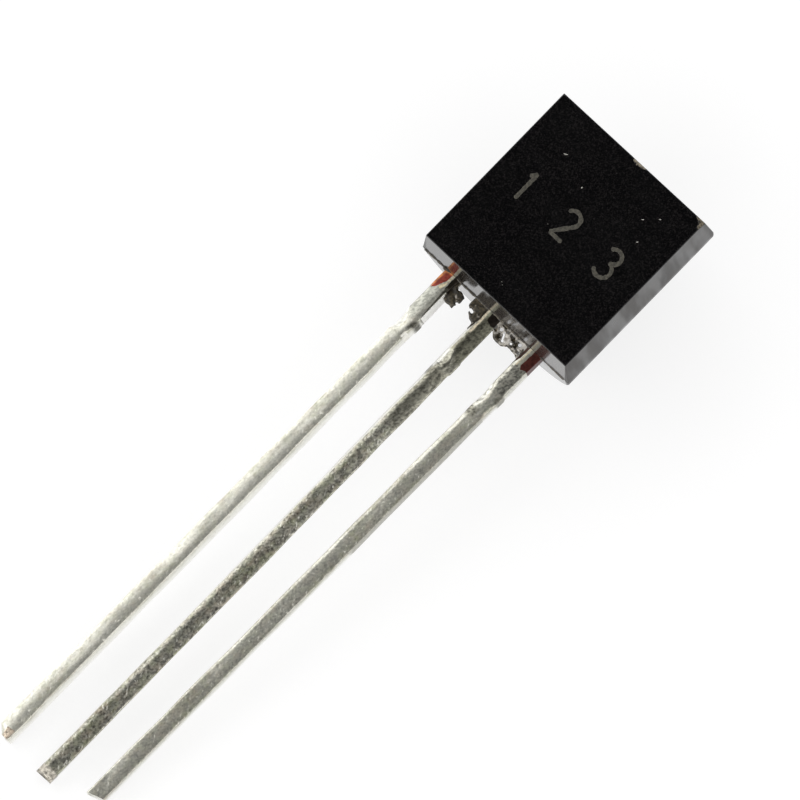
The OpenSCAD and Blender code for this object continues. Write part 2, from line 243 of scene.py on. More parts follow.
@dataclass
class Shell:
    """Points in package axes with their faces, and any numbers that a finish reads from them."""

    points: Array
    faces: list[list[int]]
    marks: dict[str, Array]

    @classmethod
    def from_grid(cls, grid: Array, marks: dict[str, Array], ends: bool = False) -> "Shell":
        """A surface through rows of points that close on themselves.

        Args:
            grid: Points as rows, columns and coordinates.
            marks: Numbers to store, each with one entry for a point.
            ends: Whether a face closes the first and the last row.

        Returns:
            The shell.
        """
        rows, columns = grid.shape[:2]
        faces = grid_quads(rows, columns, closed=True).tolist()
        if ends:
            last = (rows - 1) * columns
            faces += [list(range(columns))[::-1], list(range(last, last + columns))]
        marks = {name: values.reshape(-1) for name, values in marks.items()}
        return cls(grid.reshape(-1, 3), faces, marks)

    @classmethod
    def from_plate(cls, outline: Array, front: float, thickness: float) -> "Shell":
        """A flat piece in the plane of the lead frame.

        Args:
            outline: Its corners, in X and Z.
            front: Y of its front face.
            thickness: Its thickness along Y.

        Returns:
            The shell.
        """
        count = len(outline)
        depth = np.repeat([front, front + thickness], count)
        x, z = np.tile(outline, (2, 1)).T
        sides = grid_quads(2, count, closed=True).tolist()
        caps = [list(range(count)), list(range(count, 2 * count))[::-1]]
        return cls(np.stack([x, depth, z], 1), sides + caps, {})

    def joined(self, other: "Shell") -> "Shell":
        """This shell and another as one. A mark that one of them lacks is 0 there.

        Args:
            other: The shell whose points and faces come after this one's.

        Returns:
            The shell.
        """
        start = len(self.points)
        names = self.marks.keys() | other.marks.keys()
        marks = {
            name: np.concatenate(
                [shell.marks.get(name, np.zeros(len(shell.points))) for shell in (self, other)]
            )
            for name in sorted(names)
        }
        faces = self.faces + [[start + i for i in face] for face in other.faces]
        return Shell(np.concatenate([self.points, other.points]), faces, marks)

    def piece(self, name: str, axes: PackageAxes, material: bpy.types.Material,
              sharp: float = 35.0) -> bpy.types.Object:
        """Makes a Blender object of the shell, welded, smooth and with its faces outwards.

        Args:
            name: Name of the object.
            axes: Where the package lies.
            material: Its finish.
            sharp: Edges between faces that turn by more than this many degrees stay sharp.

        Returns:
            The object, at the origin, with its place in its mesh.
        """
        mesh = bpy.data.meshes.new(name)
        mesh.from_pydata(axes.place(self.points).tolist(), [], self.faces)
        place = mesh.attributes.new(PLACE, "FLOAT_VECTOR", "POINT")
        place.data.foreach_set("vector", self.points.astype(np.float32).ravel())
        for mark, values in self.marks.items():
            stored = mesh.attributes.new(mark, "FLOAT", "POINT")
            stored.data.foreach_set("value", values.astype(np.float32))
        work = bmesh.new()
        work.from_mesh(mesh)
        bmesh.ops.remove_doubles(work, verts=work.verts, dist=WELD)
        bmesh.ops.dissolve_degenerate(work, edges=work.edges, dist=WELD)
        bmesh.ops.recalc_face_normals(work, faces=work.faces)
        work.to_mesh(mesh)
        work.free()
        mesh.polygons.foreach_set("use_smooth", np.ones(len(mesh.polygons), bool))
        mesh.set_sharp_from_angle(angle=math.radians(sharp))
        mesh.materials.append(material)
        log.info("%s: %d faces", name, len(mesh.polygons))
        return linked(name, mesh)


# ---- Shader nodes --------------------------------------------------------------------------


class Level:
    """A number that varies over a surface. Python's operators on it add Math nodes."""

    def __init__(self, recipe: "Recipe", socket: bpy.types.NodeSocket) -> None:
        """Wraps one output socket of a recipe's node."""
        self.recipe = recipe
        self.socket = socket

    def __add__(self, other: "Level | float") -> "Level":
        """Sum."""
        return self.recipe.maths("ADD", self, other)

    __radd__ = __add__

    def __mul__(self, other: "Level | float") -> "Level":
        """Product."""
        return self.recipe.maths("MULTIPLY", self, other)

    __rmul__ = __mul__

    def __sub__(self, other: "Level | float") -> "Level":
        """Difference."""
        return self.recipe.maths("SUBTRACT", self, other)

    def __rsub__(self, other: "Level | float") -> "Level":
        """Difference with the number first."""
        return self.recipe.maths("SUBTRACT", other, self)

    def __abs__(self) -> "Level":
        """Distance from 0."""
        return self.recipe.maths("ABSOLUTE", self)

    def most(self, other: "Level | float") -> "Level":
        """The larger of the two."""
        return self.recipe.maths("MAXIMUM", self, other)

    def eased(self, low: float, high: float) -> "Level":
        """Rises smoothly from 0 to 1, as the function of that name does.

        Args:
            low: Value that gives 0. It may be the larger.
            high: Value that gives 1.

        Returns:
            The eased number.
        """
        turned = low > high
        inputs = {"Value": self, "From Min": min(low, high), "From Max": max(low, high),
                  "To Min": float(turned), "To Max": float(not turned)}
        settings = {"interpolation_type": "SMOOTHSTEP"}
        made = self.recipe.node("ShaderNodeMapRange", settings, inputs)
        return Level(self.recipe, made.outputs[0])


Socket = bpy.types.NodeSocket
Feed = Level | Socket | float | tuple


class Recipe:
    """Adds nodes to one node tree."""

    def __init__(self, tree: bpy.types.NodeTree) -> None:
        """Empties the tree."""
        self.tree = tree
        tree.nodes.clear()

    def node(self, kind: str, settings: dict, inputs: dict) -> bpy.types.Node:
        """Adds one node.

        Args:
            kind: Blender's name of the node type.
            settings: The node's own settings, which are set first.
            inputs: Values, levels or sockets for its inputs, by name or number.

        Returns:
            The node.
        """
        made = self.tree.nodes.new(kind)
        for key, value in settings.items():
            setattr(made, key, value)
        for key, value in inputs.items():
            if isinstance(value, Level):
                value = value.socket
            if isinstance(value, Socket):
                self.tree.links.new(value, made.inputs[key])
            else:
                made.inputs[key].default_value = value
        return made

    def maths(self, operation: str, *values: Level | float) -> Level:
        """A Math node on one or two values."""
        made = self.node("ShaderNodeMath", {"operation": operation}, dict(enumerate(values)))
        return Level(self, made.outputs[0])

    def scaled(self, vector: Feed, by: Place) -> Socket:
        """A vector with each of its numbers multiplied by its own factor."""
        inputs = {0: vector, 1: by}
        return self.node("ShaderNodeVectorMath", {"operation": "MULTIPLY"}, inputs).outputs[0]

    def mark(self, name: str) -> Level:
        """A number stored on the mesh."""
        made = self.node("ShaderNodeAttribute", {"attribute_name": name}, {})
        return Level(self, made.outputs["Fac"])

    def place(self) -> Socket:
        """The point in package axes, in millimetres."""
        return self.node("ShaderNodeAttribute", {"attribute_name": PLACE}, {}).outputs["Vector"]

    def apart(self, vector: Feed) -> tuple[Level, Level, Level]:
        """The three numbers of a vector."""
        made = self.node("ShaderNodeSeparateXYZ", {}, {0: vector})
        return tuple(Level(self, socket) for socket in made.outputs)

    def noise(self, place: Feed, scale: float, detail: float = 1.0, rough: float = 0.5,
              turn: float = 0.0, length: float = 1.0, shift: float = 0.0) -> Level:
        """Smooth noise from 0 to 1.

        Args:
            place: Where it is read.
            scale: Lumps a millimetre.
            detail: How many finer layers are added.
            rough: How strong each layer is, as a share of the one before it.
            turn: Radians about Y from Z to the direction in which the lumps are long.
            length: How many times as long they are that way.
            shift: Sets the pattern apart from others.

        Returns:
            The noise.
        """
        if (turn, length, shift) != (0.0, 1.0, 0.0):
            inputs = {"Vector": place, "Location": (shift, shift, shift),
                      "Rotation": (0.0, turn, 0.0), "Scale": (1.0, 1.0, length)}
            place = self.node("ShaderNodeMapping", {"vector_type": "TEXTURE"}, inputs).outputs[0]
        inputs = {"Vector": place, "Scale": scale, "Detail": detail, "Roughness": rough}
        return Level(self, self.node("ShaderNodeTexNoise", {}, inputs).outputs[0])

    def blend(self, factor: Level | float, a: Feed, b: Feed, mode: str = "MIX") -> Socket:
        """Mixes two colours.

        Args:
            factor: 0 for a and 1 for b.
            a: The first colour.
            b: The second colour.
            mode: Blender's name of the mix, which takes b's place.

        Returns:
            The mixed colour.
        """
        a, b = ((*c, 1) if isinstance(c, tuple) else c for c in (a, b))
        settings = {"data_type": "RGBA", "blend_type": mode}
        return self.node("ShaderNodeMix", settings, {0: factor, 6: a, 7: b}).outputs[2]

    def tinted(self, colour: Feed, level: Level) -> Socket:
        """A colour made lighter or darker by a level."""
        grey = self.node("ShaderNodeCombineColor", {}, {0: level, 1: level, 2: level})
        return self.blend(1.0, colour, grey.outputs[0], "MULTIPLY")

    def surface(self, height: Level, **inputs: Feed) -> None:
        """Ends the tree in a Principled BSDF.

        Args:
            height: How far the surface stands out, in millimetres. Its slope bends the normal.
            inputs: The shader's inputs, with _ for a space.
        """
        bump = self.node("ShaderNodeBump", {}, {"Height": height, "Distance": MM, "Strength": 1.0})
        named = {key.replace("_", " "): value for key, value in inputs.items()}
        named["Normal"] = bump.outputs[0]
        made = self.node("ShaderNodeBsdfPrincipled", {}, named)
        self.node("ShaderNodeOutputMaterial", {}, {"Surface": made.outputs[0]})


# ---- Finishes ------------------------------------------------------------------------------


@dataclass(frozen=True)
class Finish(ABC):
    """The looks of one kind of surface, and the name of its material."""

    name: str

    @abstractmethod
    def fill(self, recipe: Recipe) -> None:
        """Adds the material's nodes to a recipe."""

    def material(self) -> bpy.types.Material:
        """Builds the material.

        Returns:
            The material, with its nodes.
        """
        material = bpy.data.materials.new(self.name)
        material.use_nodes = True
        self.fill(Recipe(material.node_tree))
        return material


@dataclass(frozen=True)
class MouldedResin(Finish):
    """Black filled epoxy: a deep black satin flat and polished drafted sides.

    The flat's finish comes in over flat_span, measured back from the flat, and that of the two
    sides over side_span, measured from the middle. The haze fades over back_span, behind the
    parting plane. Each cut is the pair of noise values between which its pattern comes in, and
    each rough is a roughness or a part that is added to it.
    """

    front_depth: float
    black: Colour = (0.0008, 0.0008, 0.001)
    haze: Colour = (0.042, 0.037, 0.033)
    fleck: Colour = (0.013, 0.0115, 0.0115)
    fracture: Colour = (0.30, 0.25, 0.17)
    dust: Colour = (0.34, 0.33, 0.3)
    flat_span: Pair = (0.03, 0.005)
    back_span: Pair = (0.1, 0.7)
    side_span: Pair = (2.13, 2.16)
    haze_cut: Pair = (0.3, 0.7)
    fleck_cut: Pair = (0.45, 0.75)
    dust_cut: Pair = (0.89, 0.92)
    torn_cut: Pair = (0.3, 0.7)
    band_cut: Pair = (0.33, 0.67)
    cloud_cut: Pair = (0.3, 0.8)
    rough: float = 0.12
    flat_rough: float = 0.06
    side_rough: float = 0.15
    band_rough: float = 0.22
    cloud_rough: float = 0.06
    broken_rough: float = 0.4

    def fill(self, recipe: Recipe) -> None:
        """Adds the material's nodes.

        Args:
            recipe: The recipe of the material's tree.
        """
        place = recipe.place()
        x, y, _ = recipe.apart(place)
        on_flat = y.eased(*(depth - self.front_depth for depth in self.flat_span))
        clouds = recipe.noise(recipe.scaled(place, (0.5, 0.8, 1.5)), 1.6, detail=4.0, rough=0.6)
        grain = recipe.noise(place, 30.0, detail=3.0, rough=0.6)
        bands = recipe.noise(recipe.scaled(place, (0.15, 0.15, 1.0)), 2.6, detail=2.5)
        specks = recipe.noise(place, 14.0, detail=0.0, turn=0.8, length=1.8, shift=2.0)
        specks = specks.eased(*self.dust_cut)
        haze = (clouds * 0.5 + bands * 0.5).eased(*self.haze_cut) * (1 - on_flat)
        haze = haze * (1 - 0.7 * y.eased(*self.back_span))
        colour = recipe.blend(grain.eased(*self.fleck_cut) * on_flat, self.black, self.fleck)
        colour = recipe.blend(haze, colour, self.haze)
        colour = recipe.blend(specks * on_flat, colour, self.dust)
        broken = recipe.mark(BROKEN)
        torn = recipe.noise(place, 14.0, detail=4.0, rough=0.7).eased(*self.torn_cut)
        colour = recipe.blend(broken, colour, recipe.blend(torn, self.fracture, self.black))
        on_side = abs(x).eased(*self.side_span) * (1 - on_flat)
        banded = self.side_rough + self.band_rough * bands.eased(*self.band_cut)
        sheen = self.rough + self.flat_rough * on_flat + on_side * banded
        cloudy = self.cloud_rough * clouds.eased(*self.cloud_cut)
        roughness = sheen + cloudy + self.broken_rough * broken
        height = grain * 0.0002 + clouds * 0.003 * (1 - on_flat) + torn * broken * 0.02
        recipe.surface(height, Base_Color=colour, Roughness=roughness, IOR=1.5)


@dataclass(frozen=True)
class FlashResin(Finish):
    """Resin flash: brown, cloudy and glossy, and clear where it is thinnest. thick is from about
    0, where half of it is thin, to 0.15, where nothing is."""

    thick: float
    dark: Colour = (0.02, 0.016, 0.009)
    brown: Colour = (0.075, 0.06, 0.034)
    pale: Colour = (0.75, 0.7, 0.62)

    def fill(self, recipe: Recipe) -> None:
        """Adds the material's nodes.

        Args:
            recipe: The recipe of the material's tree.
        """
        place = recipe.place()
        lumps = recipe.noise(place, 6.0)
        grain = recipe.noise(place, 15.0)
        colour = recipe.blend(grain.eased(0.4, 0.65), self.dark, self.brown)
        thin = (lumps * 0.7 + grain * 0.3).eased(0.48 + self.thick, 0.57 + self.thick)
        colour = recipe.blend(thin, colour, self.pale)
        height = (lumps * 0.012 + grain * 0.005) * (1 - 4 * self.thick)
        recipe.surface(height, Base_Color=colour, Roughness=0.18 + 2 * self.thick, IOR=1.55,
                       Alpha=1 - 0.45 * thin)


@dataclass(frozen=True)
class Stain:
    """A patch of another colour on a lead. Some are real stains, some painted shade and some
    painted highlights. Its outline gives distances across the lead from its middle, and down from
    the body, and may run past the lead's edges and into the body. metal is how bare the patch is,
    soft is half its border's width, edge is how far the ragged border is blurred, and mottled is
    how strongly the lead's speckle shows in it."""

    mark: str
    colour: Colour
    outline: Outline
    metal: float = 0.8
    soft: float = 0.02
    edge: float = 0.1
    mottled: float = 0.6

    def cover(self, across: Array, down: Array) -> Array:
        """How much of each place the patch covers: 1 inside its outline, 0.5 on it, 0 outside."""
        inside = inside_depth(np.stack([across, down], -1), np.array(self.outline))
        return eased(inside, -self.soft, self.soft)


@dataclass(frozen=True)
class TinPlate(Finish):
    """Dull tin over copper alloy: cloudy, finely speckled and scratched, with stains, painted shade
    and painted highlights.

    gloom adds to the tarnish, grain is how strong the speckle and the relief are, and metal is how
    much of the surface is bare: the rest is oxide, which is pale and matt. Pale matt flecks, less
    bare than the rest, are painted glints. Each cut is the pair of noise values between which its
    pattern comes in.
    """

    stains: tuple[Stain, ...]
    gloom: float
    grain: float
    metal: float
    tin: Colour = (0.90, 0.89, 0.79)
    sheared: Colour = (0.97, 0.965, 0.92)
    olive: Colour = (0.35, 0.355, 0.245)
    brown: Colour = (0.37, 0.33, 0.255)
    worn_cut: Pair = (0.34, 0.64)
    fleck_cut: Pair = (0.63, 0.73)
    tarnish_cut: Pair = (0.3, 0.72)
    tone_cut: Pair = (0.38, 0.62)
    rub_cut: Pair = (0.42, 0.32)
    raggedness: float = 0.9
    rough: float = 0.28
    tarnish_rough: float = 0.2
    stain_rough: float = 0.6

    def fill(self, recipe: Recipe) -> None:
        """Adds the material's nodes.

        Args:
            recipe: The recipe of the material's tree.
        """
        place = recipe.place()
        patches = recipe.noise(place, 2.2, detail=3.0, rough=0.6, length=3.3)
        tones = recipe.noise(place, 5.0, length=1.5, shift=9.0)
        mottle = recipe.noise(place, 7.0, length=1.2)
        speckle = recipe.noise(place, 20.0, turn=0.5, length=1.4)
        streaks = recipe.noise(place, 12.0, turn=0.03, length=12.0)
        rubs = recipe.noise(place, 19.0, turn=-0.6, length=2.2, shift=5.0)
        sheared = recipe.mark(SHEARED)
        worn = (mottle * 0.4 + speckle * 0.6).eased(*self.worn_cut)
        # Painted glints: pale, less metallic flecks that read bright from any side.
        glint_flecks = rubs.eased(*self.fleck_cut) * (1 - sheared)
        tarnish = patches * 0.4 + mottle * 0.35 + streaks * 0.25 + self.gloom
        tarnish = tarnish.eased(*self.tarnish_cut)
        dull = recipe.blend(tones.eased(*self.tone_cut), self.olive, self.brown)
        colour = recipe.blend(tarnish, self.tin, dull)
        colour = recipe.tinted(colour, 1 - self.grain * (1 - worn))
        colour = recipe.tinted(colour, 1 - 0.7 * self.grain * rubs.eased(*self.rub_cut))
        colour = recipe.blend(glint_flecks * 0.6, colour, self.tin)
        colour = recipe.blend(sheared * 0.9, colour, self.sheared)
        metal = self.metal - 0.35 * glint_flecks
        rough = self.rough + self.tarnish_rough * tarnish
        ragged = (recipe.noise(place, 11.0, detail=3.0, rough=0.6) - 0.5) * self.raggedness
        for stain in self.stains:
            cover = (recipe.mark(stain.mark) + ragged).eased(0.5 - stain.edge, 0.5 + stain.edge)
            tone = recipe.tinted(stain.colour, 1 - 0.6 * stain.mottled + stain.mottled * worn)
            colour = recipe.blend(cover, colour, tone)
            metal = metal + cover * (stain.metal - metal)
            rough = rough + cover * (self.stain_rough - self.rough * stain.metal - rough)
        fine = (mottle * 0.014 + speckle * 0.005 + rubs * 0.003) * self.grain
        height = (patches * 0.006 + streaks * 0.002) * (0.15 + self.grain) + fine
        recipe.surface(height, Base_Color=colour, Metallic=metal, Roughness=rough)


@dataclass(frozen=True)
class LaserMark(Finish):
    """Resin burnt pale and dull by a laser."""

    burnt: Colour = (0.068, 0.062, 0.046)
    charred: Colour = (0.022, 0.02, 0.014)

    def fill(self, recipe: Recipe) -> None:
        """Adds the material's nodes.

        Args:
            recipe: The recipe of the material's tree.
        """
        place = recipe.place()
        spots = recipe.noise(place, 16.0, detail=3.0, rough=0.7)
        colour = recipe.blend(spots.eased(0.66, 0.36), self.burnt, self.charred)
        recipe.surface(spots * 0.006, Base_Color=colour, Roughness=0.75, IOR=1.5)


@dataclass(frozen=True)
class HiddenMetal(Finish):
    """A plain worked metal of the pieces inside the resin."""

    colour: Colour
    roughness: float
    grain: float

    def fill(self, recipe: Recipe) -> None:
        """Adds the material's nodes. They read Object coordinates, in metres.

        Args:
            recipe: The recipe of the material's tree.
        """
        place = recipe.node("ShaderNodeTexCoord", {}, {}).outputs["Object"]
        place = recipe.scaled(place, (1 / MM, 1 / MM, 1 / MM))
        cloud = recipe.noise(place, self.grain, detail=3.0)
        colour = recipe.tinted(self.colour, 0.75 + 0.5 * cloud)
        recipe.surface(cloud * 0.001, Base_Color=colour, Metallic=1.0,
                       Roughness=self.roughness + 0.15 * cloud)


@dataclass(frozen=True)
class PaleFloor(Finish):
    """A white floor that keeps soft shadows. The camera sees it glow of the way from matt to
    glowing, and glossy surfaces mirror it as glowing alone, and mirrored as bright."""

    matt: float = 0.9
    mirrored: float = 0.88
    strength: float = 1.08
    glow: float = 0.68

    def fill(self, recipe: Recipe) -> None:
        """Adds the material's nodes.

        Args:
            recipe: The recipe of the material's tree.
        """
        path = recipe.node("ShaderNodeLightPath", {}, {})
        seen, through, mirror = (Level(recipe, path.outputs[f"Is {kind} Ray"])
                                 for kind in ("Camera", "Transmission", "Glossy"))
        seen = seen.most(through)
        matt = recipe.node("ShaderNodeBsdfDiffuse", {}, {"Color": (*[self.matt] * 3, 1)})
        white = recipe.blend(mirror, (1.0,) * 3, (self.mirrored,) * 3)
        lit = recipe.node("ShaderNodeEmission", {}, {"Color": white, "Strength": self.strength})
        share = (seen * self.glow).most(mirror)
        mixed = recipe.node("ShaderNodeMixShader", {},
                            {0: share, 1: matt.outputs[0], 2: lit.outputs[0]})
        recipe.node("ShaderNodeOutputMaterial", {}, {"Surface": mixed.outputs[0]})


# ---- Body ----------------------------------------------------------------------------------


@dataclass(frozen=True)
class Break:
    """Resin broken off an edge: what lies beyond a rough plane is pulled back to it."""

    corner: Place
    normal: Place
    depth: float
    half_length: float
    seed: int
    rough: float = 0.012
    grain: float = 0.07

    def carve(self, points: Array) -> tuple[Array, Array]:
        """Moves points beyond the plane along its normal, by their distance to it.

        The plane lies depth inside the corner. Past half_length to the sides of the corner it
        rises out of the resin by as much as it goes on.

        Args:
            points: Places in package axes.

        Returns:
            The moved points, and how broken each place is, from 0 to 1.
        """
        normal = np.array(self.normal) / np.linalg.norm(self.normal)
        offset = points - np.array(self.corner)
        past = np.maximum(np.abs(offset[..., 0]) - self.half_length, 0)
        rough = self.rough * ripple(points, self.grain, self.seed)
        moved = np.maximum(offset @ normal + self.depth - past - rough, 0)
        return points - moved[..., None] * normal, eased(moved, 0.0, self.rough)


@dataclass(frozen=True)
class MouldedBody:
    """The black moulded body: a drafted front half and a half-round back, one shell.

    Its top end is out of square: over the last skew_band of the height it rises by skew for each
    millimetre to the right of skew_pivot.
    """

    width: float = 4.51
    height: float = 4.65
    front_depth: float = 1.25
    side_draft: float = 4.6
    front_end_draft: float = 5.0
    back_end_draft: float = 1.0
    lower_corner: float = 0.02
    upper_corner: float = 0.05
    back_edge_radius: float = 0.03
    rim_radius: float = 0.02
    ridge_height: float = 0.006
    ridge_half: float = 0.02
    ejector_d: float = 1.5
    ejector_depth: float = 0.15
    ejector_z: float = 2.6
    gate_x: float = 0.17
    skew: float = 0.0095
    skew_pivot: float = -0.9
    skew_band: float = 0.6

    @property
    def back_radius(self) -> float:
        """Radius of the round back."""
        return self.width / 2

    def half_width(self, depth: Array) -> Array:
        """Half the width: drafted in front, and a circle behind the parting plane.

        Args:
            depth: Distances behind the parting plane.

        Returns:
            One half width for each.
        """
        drafted = self.back_radius + depth * math.tan(math.radians(self.side_draft))
        round_back = np.sqrt(np.maximum(self.back_radius**2 - depth**2, 0))
        return np.where(depth < 0, drafted, round_back)

    def end_inset(self, depth: Array) -> Array:
        """How far each end lies inside the parting plane's height, by the two drafts.

        Args:
            depth: Distances behind the parting plane.

        Returns:
            One distance for each.
        """
        front = -depth * math.tan(math.radians(self.front_end_draft))
        back = depth * math.tan(math.radians(self.back_end_draft))
        return np.where(depth < 0, front, back)

    def stations(self) -> tuple[Array, Array, Array]:
        """The rings, from the middle of the flat over its rounded rim, down the drafted sides, over
        the parting line and round the back. On the flat they draw closer outwards, and lie 0.01 mm
        apart over the last 0.2 mm to its rim. The ridge is a cosine of the depth.

        Returns:
            Each ring's depth, its inset and the height of its parting ridge.
        """
        half = self.half_width(np.array(-self.front_depth)) - self.rim_radius
        cap = np.concatenate([np.geomspace(half, 0.22, 9), np.linspace(0.2, 0.01, 20)])
        turn = np.linspace(0, np.pi / 2, 6)
        sides = np.linspace(self.rim_radius - self.front_depth, -self.ridge_half, 34)[1:]
        ridge = np.linspace(-self.ridge_half, self.ridge_half, 9)[1:-1]
        lean = np.linspace(self.ridge_half / self.back_radius, np.pi / 2, 60)
        depth = np.concatenate([
            np.full(len(cap), -self.front_depth),
            -self.front_depth + self.rim_radius * (1 - np.cos(turn)),
            sides, ridge, self.back_radius * np.sin(lean)])
        inset = np.concatenate([self.rim_radius + cap, self.rim_radius * (1 - np.sin(turn)),
                                0 * sides, 0 * ridge, 0 * lean])
        raised = self.ridge_height * np.cos(np.pi / 2 * depth / self.ridge_half)
        return depth, inset, np.where(np.abs(depth) < self.ridge_half, raised, 0)

    def corner(self, radius: float, depth: Array, inset: Array) -> Array:
        """A corner's radius: small at the flat's rim, full at the parting plane and less again
        where the round back closes.

        Args:
            radius: The full radius.
            depth: Each ring's depth.
            inset: Each ring's inset.

        Returns:
            One radius for each ring.
        """
        front = self.rim_radius + (radius - self.rim_radius) * eased(depth, -self.front_depth, 0)
        share = (self.half_width(depth) / self.back_radius) ** 2
        back = self.back_edge_radius + (radius - self.back_edge_radius) * share
        full = np.where(depth < 0, front, back)
        return np.clip(full - inset, 0, self.half_width(depth))

    def breaks(self) -> list[Break]:
        """Where the resin is broken.

        Returns:
            The gate scar on the flat's upper edge, and the chip off its upper right corner.
        """
        top = self.height - float(self.end_inset(np.array(-self.front_depth)))
        right = float(self.half_width(np.array(-self.front_depth)))
        return [
            Break((self.gate_x, -self.front_depth, top), (0, -0.8, 1), depth=0.055,
                  half_length=0.13, seed=3),
            Break((right, -self.front_depth, top), (0.35, -0.87, 0.35), depth=0.072,
                  half_length=0.4, seed=4),
        ]

    def shell(self) -> Shell:
        """The body's surface: rounded rectangles across the depth, joined one to the next. The
        ejector mark is pressed in, the breaks are carved and the top end is skewed.

        Returns:
            The shell, with how broken it is as a mark.
        """
        depth, inset, ridge = self.stations()
        width = self.half_width(depth) - inset
        low = self.end_inset(depth) + inset
        radii = (self.lower_corner, self.upper_corner)
        lower, upper = (self.corner(radius, depth, inset) for radius in radii)
        x, z = rounded_rings(np.maximum(width, 0), low - ridge, self.height - low, lower, upper,
                             along=150, corner=8)
        y = np.repeat(depth[:, None], x.shape[1], 1)
        grid = np.stack([x, y, z], -1)
        from_mark = np.hypot(x, z - self.ejector_z)
        floor = self.back_radius - self.ejector_depth
        pressed = (from_mark < self.ejector_d / 2) & (y > floor)
        grid[..., 1] = np.where(pressed, floor, y)
        broken = np.zeros(x.shape)
        for scar in self.breaks():
            grid, torn = scar.carve(grid)
            broken = np.maximum(broken, torn)
        near_top = eased(z, self.height - self.skew_band, self.height)
        grid[..., 2] += self.skew * (x - self.skew_pivot) * near_top
        return Shell.from_grid(grid, {BROKEN: broken})


@dataclass(frozen=True)
class Bubble:
    """A burst bubble in a flake: everything within its radius of a line from start to end."""

    start: Pair
    end: Pair
    radius: float

    def clear_of(self, spots: Array) -> Array:
        """How far spots lie outside the bubble: their distance to its line, less its radius.

        Args:
            spots: Places in the plane, in the last axis.

        Returns:
            One distance for each, which is negative inside.
        """
        start, run = np.array(self.start), np.array(self.end) - np.array(self.start)
        to_spot = spots - start
        share = np.clip(to_spot @ run / max(float(run @ run), TINY), 0, 1)
        return np.linalg.norm(to_spot - share[..., None] * run, axis=-1) - self.radius


@dataclass(frozen=True)
class Flake:
    """A thin flake of resin about the plane Y = middle. Its border is ragged and its two sheets
    sway, by about those distances. Its thickness varies about the share evenness, the more the
    more it sways. Each wave is the distance between the crests of one of these.

    It is worked out on a grid of that step. Towards its border it thins over edge, and no grid
    point is moved further than furthest steps to reach the border.
    """

    name: str
    finish: FlashResin
    outline: Outline
    bubbles: tuple[Bubble, ...]
    seed: int
    middle: float = 0.13
    thickness: float = 0.14
    ragged: float = 0.01
    sway: float = 0.008
    evenness: float = 0.85
    uneven_by_sway: float = 7.0
    ragged_wave: float = 0.16
    uneven_wave: float = 0.22
    sway_wave: float = 0.3
    step: float = 0.012
    edge: float = 0.045
    margin: float = 0.04
    least_slope: float = 0.5
    furthest: float = 1.3
    least_swell: float = 0.12

    def level(self, spots: Array) -> Array:
        """How deep spots lie in the flake: inside its outline, made ragged by a ripple, and outside
        every bubble, whichever is less.

        Args:
            spots: Places in the plane, in the last axis.

        Returns:
            One distance for each, which is negative off the flake.
        """
        deep = np.concatenate([spots, 0 * spots[..., :1]], -1)
        value = inside_depth(spots, np.array(self.outline))
        value = value + self.ragged * ripple(deep, self.ragged_wave, self.seed)
        for bubble in self.bubbles:
            value = np.minimum(value, bubble.clear_of(spots))
        return value

    def shell(self) -> Shell:
        """Two sheets over a grid that meet at the flake's edge, so that it is lens-shaped.

        Squares of the grid whose corners all have a level above 0 stay. Points on the border of
        what stays are moved along the level's slope to where it is 0. From there the thickness
        grows as a quarter circle does, until the level is edge.

        Returns:
            The shell.
        """
        outline = np.array(self.outline)
        low, high = outline.min(0) - self.margin, outline.max(0) + self.margin
        axes = [np.arange(a, b, self.step) for a, b in zip(low, high)]
        flat = np.stack(np.meshgrid(*axes, indexing="ij"), -1)
        value = self.level(flat)
        rows, columns = value.shape
        quads = grid_quads(rows, columns, closed=False)
        keep = quads[(value.reshape(-1)[quads] > 0).all(1)]
        uses = np.bincount(keep.reshape(-1), minlength=value.size)
        border = ((uses > 0) & (uses < 4)).reshape(value.shape)
        slope = np.stack(np.gradient(value, self.step), -1)
        steep = np.maximum((slope**2).sum(-1, keepdims=True), self.least_slope**2)
        moved = flat - np.where(border[..., None], value[..., None] * slope / steep, 0)
        shift = moved - flat
        reach = np.linalg.norm(shift, axis=-1, keepdims=True)
        moved = flat + shift * np.minimum(1, self.furthest * self.step / np.maximum(reach, TINY))
        share = np.clip(value / self.edge, 0, 1)
        deep = np.concatenate([flat, 0 * flat[..., :1]], -1)
        uneven = self.uneven_by_sway * self.sway * ripple(deep, self.uneven_wave, self.seed + 1)
        uneven = self.evenness + uneven
        swell = np.sqrt(share * (2 - share)) * uneven
        swell = np.where(border, 0, np.maximum(swell, self.least_swell)) * self.thickness / 2
        sway = self.sway * ripple(deep, self.sway_wave, self.seed + 2)
        front, back = (np.stack([moved[..., 0], self.middle + sway + side * swell,
                                 moved[..., 1]], -1).reshape(-1, 3) for side in (-1, 1))
        faces = keep.tolist() + (keep[:, ::-1] + value.size).tolist()
        used = np.zeros(2 * value.size, bool)
        used[np.array(faces).reshape(-1)] = True
        number = np.cumsum(used) - 1
        faces = number[np.array(faces)].tolist()
        return Shell(np.concatenate([front, back])[used], faces, {})


# ---- Marking -------------------------------------------------------------------------------


